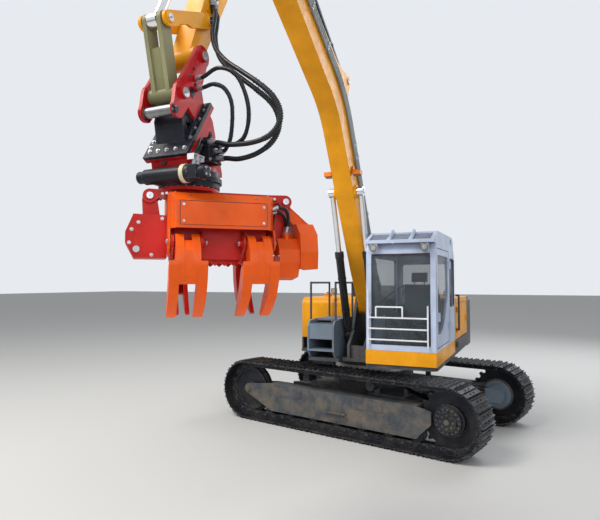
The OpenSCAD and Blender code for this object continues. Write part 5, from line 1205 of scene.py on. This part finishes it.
def addHeadBolts():
    facts = headFacts
    bm = bmesh.new()
    for end in (-1, 1):
        panel = [(end * facts["coverFace"], y, z) for y in (-0.292, 0.292) for z in (-0.286, -0.404)]
        addBolts(bm, headFrame, (end, 0, 0), 0.007, panel)
        slope = [(end * 0.316, y, -0.2205) for y in (-0.24, 0.0, 0.24)]
        addBolts(bm, headFrame, (end * 0.66, 0, 0.75), 0.006, slope, False)
        addBolts(bm, headFrame, (0, 0, 1), 0.008,
                 [(end * 0.25, y, facts["coverTop"]) for y in (-0.345, 0.345)])
        addBolts(bm, headFrame, (0, 1, 0), 0.009, [(end * 0.055, 0.524, z) for z in (-0.475, -0.53, -0.585)])
    plate = [(-0.598, -0.402), (-0.645, -0.455), (-0.662, -0.552), (-0.505, -0.64), (-0.43, -0.37)]
    addBolts(bm, headFrame, (1, 0, 0), 0.01, [(facts["plateFace"], y, z) for y, z in plate])
    brightPiece("headBolts", bm, "head")
    bm = bmesh.new()  # dark seam round each access panel
    for end in (-1, 1):
        low, high = end * 0.3496, end * 0.3504
        for z in (-0.4285, -0.2575):
            addBox(bm, (low, -0.318, z - 0.0022), (high, 0.318, z + 0.0022), headFrame)
        for y in (-0.3175, 0.3175):
            addBox(bm, (low, y - 0.0022, -0.4285), (high, y + 0.0022, -0.2575), headFrame)
    finishPiece("panelSeam", bm, "black_plastic", "head")


# Sloping cover between the yoke's ear and the saw guard, with a window, on two gussets
sawCoverFacts = {"upper": (0.556, -0.222), "lower": (0.742, -0.38), "half": 0.094,
                 "window": (0.052, 0.075, 0.165), "thick": 0.01, "gusset": -0.3795}


def addWalls(bm, first, second):  # faces between two rings of the same length
    for step in range(len(first)):
        after = (step + 1) % len(first)
        bm.faces.new((first[step], first[after], second[after], second[step]))


def addSawCover():
    facts = sawCoverFacts
    (y0, z0), (y1, z1) = facts["upper"], facts["lower"]
    run = hypot(y1 - y0, z1 - z0)
    slope = atan2(z1 - z0, y1 - y0)
    sheet = headFrame @ moved(0, y0, z0) @ Matrix.Rotation(slope, 4, "X")
    half, (opening, low, high) = facts["half"], facts["window"]
    outer = [(-half, 0), (half, 0), (half, run), (-half, run)]
    window = [(-opening, low), (opening, low), (opening, high), (-opening, high)]
    bm = bmesh.new()
    under, over = [[[bm.verts.new(at(sheet, x, y, z)) for x, y in ring] for ring in (outer, window)]
                   for z in (-facts["thick"], 0)]
    for first, second in ((over[0], over[1]), (under[0], under[1]), (under[0], over[0]), (under[1], over[1])):
        addWalls(bm, first, second)
    outline = [(y0 + 0.004, z0 - 0.014), (y1 - 0.01, facts["gusset"]), (0.602, facts["gusset"]),
               (0.5, -0.262)]
    for side in (-1, 1):  # gussets below the sheet
        walls = [[bm.verts.new(at(headFrame, side * x, y, z)) for y, z in outline]
                 for x in (half - 0.014, half - 0.004)]
        for wall in walls:
            bm.faces.new(wall)
        addWalls(bm, *walls)
    finishPiece("sawCover", bm, "head_orange", "head", 0.0012)
    bm = bmesh.new()
    spots = [(x, y, 0) for x in (-0.074, 0.074) for y in (0.025, run / 2, run - 0.025)]
    addBolts(bm, sheet, (0, 0, 1), 0.007, spots)
    brightPiece("sawCoverBolts", bm, "head")


sawFacts = {"face": 0.742, "x": 0.13, "z": -0.52, "ports": (0.136, 0.184), "hose": 0.014, "bar": 0.45,
            "nose": 0.0515, "links": 46, "barTurn": 190}
sawRoutes = [
    [(0.215, 0.396, -0.275), (0.222, 0.446, -0.262), (0.22, 0.505, -0.282), (0.196, 0.528, -0.36),
     (0.184, 0.516, -0.45)],
    [(0.165, 0.396, -0.3), (0.17, 0.442, -0.292), (0.166, 0.496, -0.318), (0.144, 0.522, -0.385),
     (0.136, 0.516, -0.45)],
    [(0.06, 0.396, -0.27), (0.06, 0.425, -0.266), (0.06, 0.462, -0.29), (0.052, 0.48, -0.36),
     (0.04, 0.484, -0.44)],
]


def addSawFittings():
    facts = sawFacts
    bm = bmesh.new()
    out = way(headFrame, 0, 1, 0)
    guard = [(-0.3, -0.46), (-0.22, -0.42), (0.13, -0.42), (0.23, -0.5), (0.25, -0.66), (-0.34, -0.6),
             (0.02, -0.7)]
    addBolts(bm, headFrame, (0, 1, 0), 0.009, [(x, facts["face"], z) for x, z in guard])
    hub = headFrame @ moved(facts["x"], facts["face"], facts["z"])
    addStuds(bm, at(hub, 0, 0, 0), out, (0, 0.012, 0.052, 32), (0.012, 0.024, 0.018, 6))
    addBolts(bm, hub, (0, 1, 0), 0.006, [(x, 0.012, z) for x, z in ringOf(6, 0.038)], False)
    addBolts(bm, headFrame, (0, -1, 0), 0.008, [(0.15, 0.4358, -0.8), (0.262, 0.4358, -0.64)])
    for x in facts["ports"]:
        addStuds(bm, at(headFrame, x, 0.516, -0.46), Vector((0, 0, 1)), (0, 0.012, 0.017, 6))
    brightPiece("sawFittings", bm, "head", 0.0008)
    bm = bmesh.new()
    for number, route in enumerate(sawRoutes):
        line = smoothPath([at(headFrame, *spot) for spot in route])
        tubeOn("sawHose" + str(number), line, facts["hose"], 4, "hose_rubber", "head")
        ferrule(bm, line[0], line[1] - line[0], facts["hose"])
        if number < len(facts["ports"]):
            ferrule(bm, line[-1], line[-2] - line[-1], facts["hose"])
    brightPiece("sawHoseEnds", bm, "head")


def addSawChain():  # links round the bar, every other one with a cutter
    facts = sawFacts
    pivot = headFrame @ moved(facts["x"], 0.67, facts["z"]) @ turned(90, "X") @ turned(facts["barTurn"], "Z")
    reach, nose = facts["bar"], facts["nose"]
    total = 2 * reach + 2 * pi * nose
    bm = bmesh.new()
    for step in range(facts["links"]):
        run = total * step / facts["links"]
        if run < reach:
            centre, turn = Vector((run, nose, 0)), 0
        elif run < reach + pi * nose:
            turn = -(run - reach) / nose
            centre = Vector((reach - sin(turn) * nose, cos(turn) * nose, 0))
        elif run < 2 * reach + pi * nose:
            centre, turn = Vector((2 * reach + pi * nose - run, -nose, 0)), pi
        else:
            turn = pi - (run - 2 * reach - pi * nose) / nose
            centre = Vector((-sin(turn) * nose, cos(turn) * nose, 0))
        link = pivot @ moved(*centre) @ Matrix.Rotation(turn, 4, "Z")
        addBox(bm, (-0.0115, -0.005, -0.0042), (0.0115, 0.0035, 0.0042), link)
        if step % 2 == 0:
            addBox(bm, (-0.008, 0.0035, -0.0042), (0.006, 0.009, -0.0005 if step % 4 == 0 else 0.0042), link)
    finishPiece("sawChain", bm, "bar_steel", "saw_bar", 0.0006, 1)


addHeadPins()
addHeadBolts()
addSawCover()
addSawFittings()
addSawChain()
print("stage: head")

# platform: vent meshes, locks, treads, filler cap, valve block, the boom's foot hoses, roof mesh

platformFacts = {"vents": {"left_service_door": (-1070, -750), "right_service_door": (-1370, -1050)},
                 "ventZ": (1420, 1825), "ventY": 1219.5, "locks": (1620, 1860, 1392), "tread": 34}


def addTread(bm, x0, x1, y0, y1, z):  # raised dashes, turned by half a right angle each way
    step = platformFacts["tread"]
    for row in range((x1 - x0) // step):
        for column in range((y1 - y0) // step):
            centre = place(x0 + (row + 0.5) * step, y0 + (column + 0.5) * step, z)
            turn = moved(*centre) @ turned(45 if (row + column) % 2 else -45, "Z")
            addBox(bm, (-0.011, -0.0028, -0.0005), (0.011, 0.0028, 0.0022), turn)


def addPlatformFittings():
    facts = platformFacts
    for (side, label), (body, (low, high)) in zip(flanks, facts["vents"].items()):
        bm = bmesh.new()
        placeBox(bm, (low, side * facts["ventY"], facts["ventZ"][0]),
                 (high, side * (facts["ventY"] - 5), facts["ventZ"][1]))
        finishPiece(body + "Mesh", bm, "black_plastic", body)
        bm = bmesh.new()
        for z in facts["locks"]:
            addStuds(bm, place(-1805, side * 1250, z), Vector((0, side, 0)), (0, 0.006, 0.019, 24),
                     (0, 0.01, 0.009, 20))
        brightPiece(body + "Locks", bm, body, 0.0008)
    bm = bmesh.new()
    addTread(bm, 770, 1070, -680, -330, 1620)
    addTread(bm, 300, 740, -700, -310, 1110)
    finishPiece("deckTreads", bm, "chassis_grey", "upper")
    bm = bmesh.new()
    placeBox(bm, (-540, -996, 2051), (-448, -984, 2066))
    addRod(bm, place(-494, -990, 2050), place(-494, -990, 2060), 0.03, 20)
    finishPiece("fillerGrip", bm, "black_plastic", "upper", 0.002)
    bm = bmesh.new()
    for x in (-420, -200):
        placeBox(bm, (x, -120, 1110), (x + 12, 120, 1180))
    placeBox(bm, (-430, -130, 1180), (-170, 130, 1360))
    for x in range(-398, -200, 64):  # the spools and their ports
        addRod(bm, place(x, -150, 1270), place(x, 150, 1270), 0.024, 18)
        addRod(bm, place(x, 60, 1358), place(x, 60, 1386), 0.018, 6)
    finishPiece("valveBlock", bm, "engine_grey", "upper", 0.003)


def addFootHoses():  # from the valve block, over the boom's foot, to its pipes
    radius = 0.016
    for number, level in enumerate(pipeFacts["levels"]):
        low = [place(-300, 40 + 30 * number, 1360), place(-297, 40 + 34 * number, 1540),
               place(-225, 45 + 42 * number, 1780), place(-90, 50 + 36 * number, 1985)]
        high = [(0.06, 0.07 + 0.032 * number, 0.228), (0.2, 0.1 + 0.024 * number, 0.234),
                (0.33, 0.152, 0.165 + 0.02 * number), (0.43, 0.162, level + 0.022),
                (0.507, pipeFacts["y"], level)]
        line = smoothPath(low + [at(boomFrame, *spot) for spot in high])
        bm = bmesh.new()
        addSweep(bm, line, radius)
        hose = finishPiece("boomFootHose" + str(number), bm, "hose_rubber", None)
        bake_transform(hose)


def addRoofMesh():  # dark mesh behind the three bays of the roof guard's slope
    facts = {"front": (1362, 2801), "back": (1110, 2925), "y": (324, 1216), "long": 46, "across": 12,
             "wire": 0.0015}
    (x0, z0), (x1, z1), (y0, y1), wire = facts["front"], facts["back"], facts["y"], facts["wire"]
    run, width = hypot(x1 - x0, z1 - z0) / 1000, (y1 - y0) / 1000
    slope = moved(*place(x0, y0, z0)) @ Matrix.Rotation(atan2(z1 - z0, x0 - x1), 4, "Y")
    bm = bmesh.new()
    addBox(bm, (-run, 0, -0.003), (0, width, 0), slope)
    for step in range(1, facts["long"]):
        y = width * step / facts["long"]
        addBox(bm, (-run, y - wire, 0.0002), (0, y + wire, 0.0045), slope)
    for step in range(1, facts["across"]):
        x = -run * step / facts["across"]
        addBox(bm, (x - wire, 0, 0.004), (x + wire, width, 0.0075), slope)
    finishPiece("roofMesh", bm, "black_plastic", "upper")


addPlatformFittings()
addFootHoses()
addRoofMesh()
print("stage: platform")
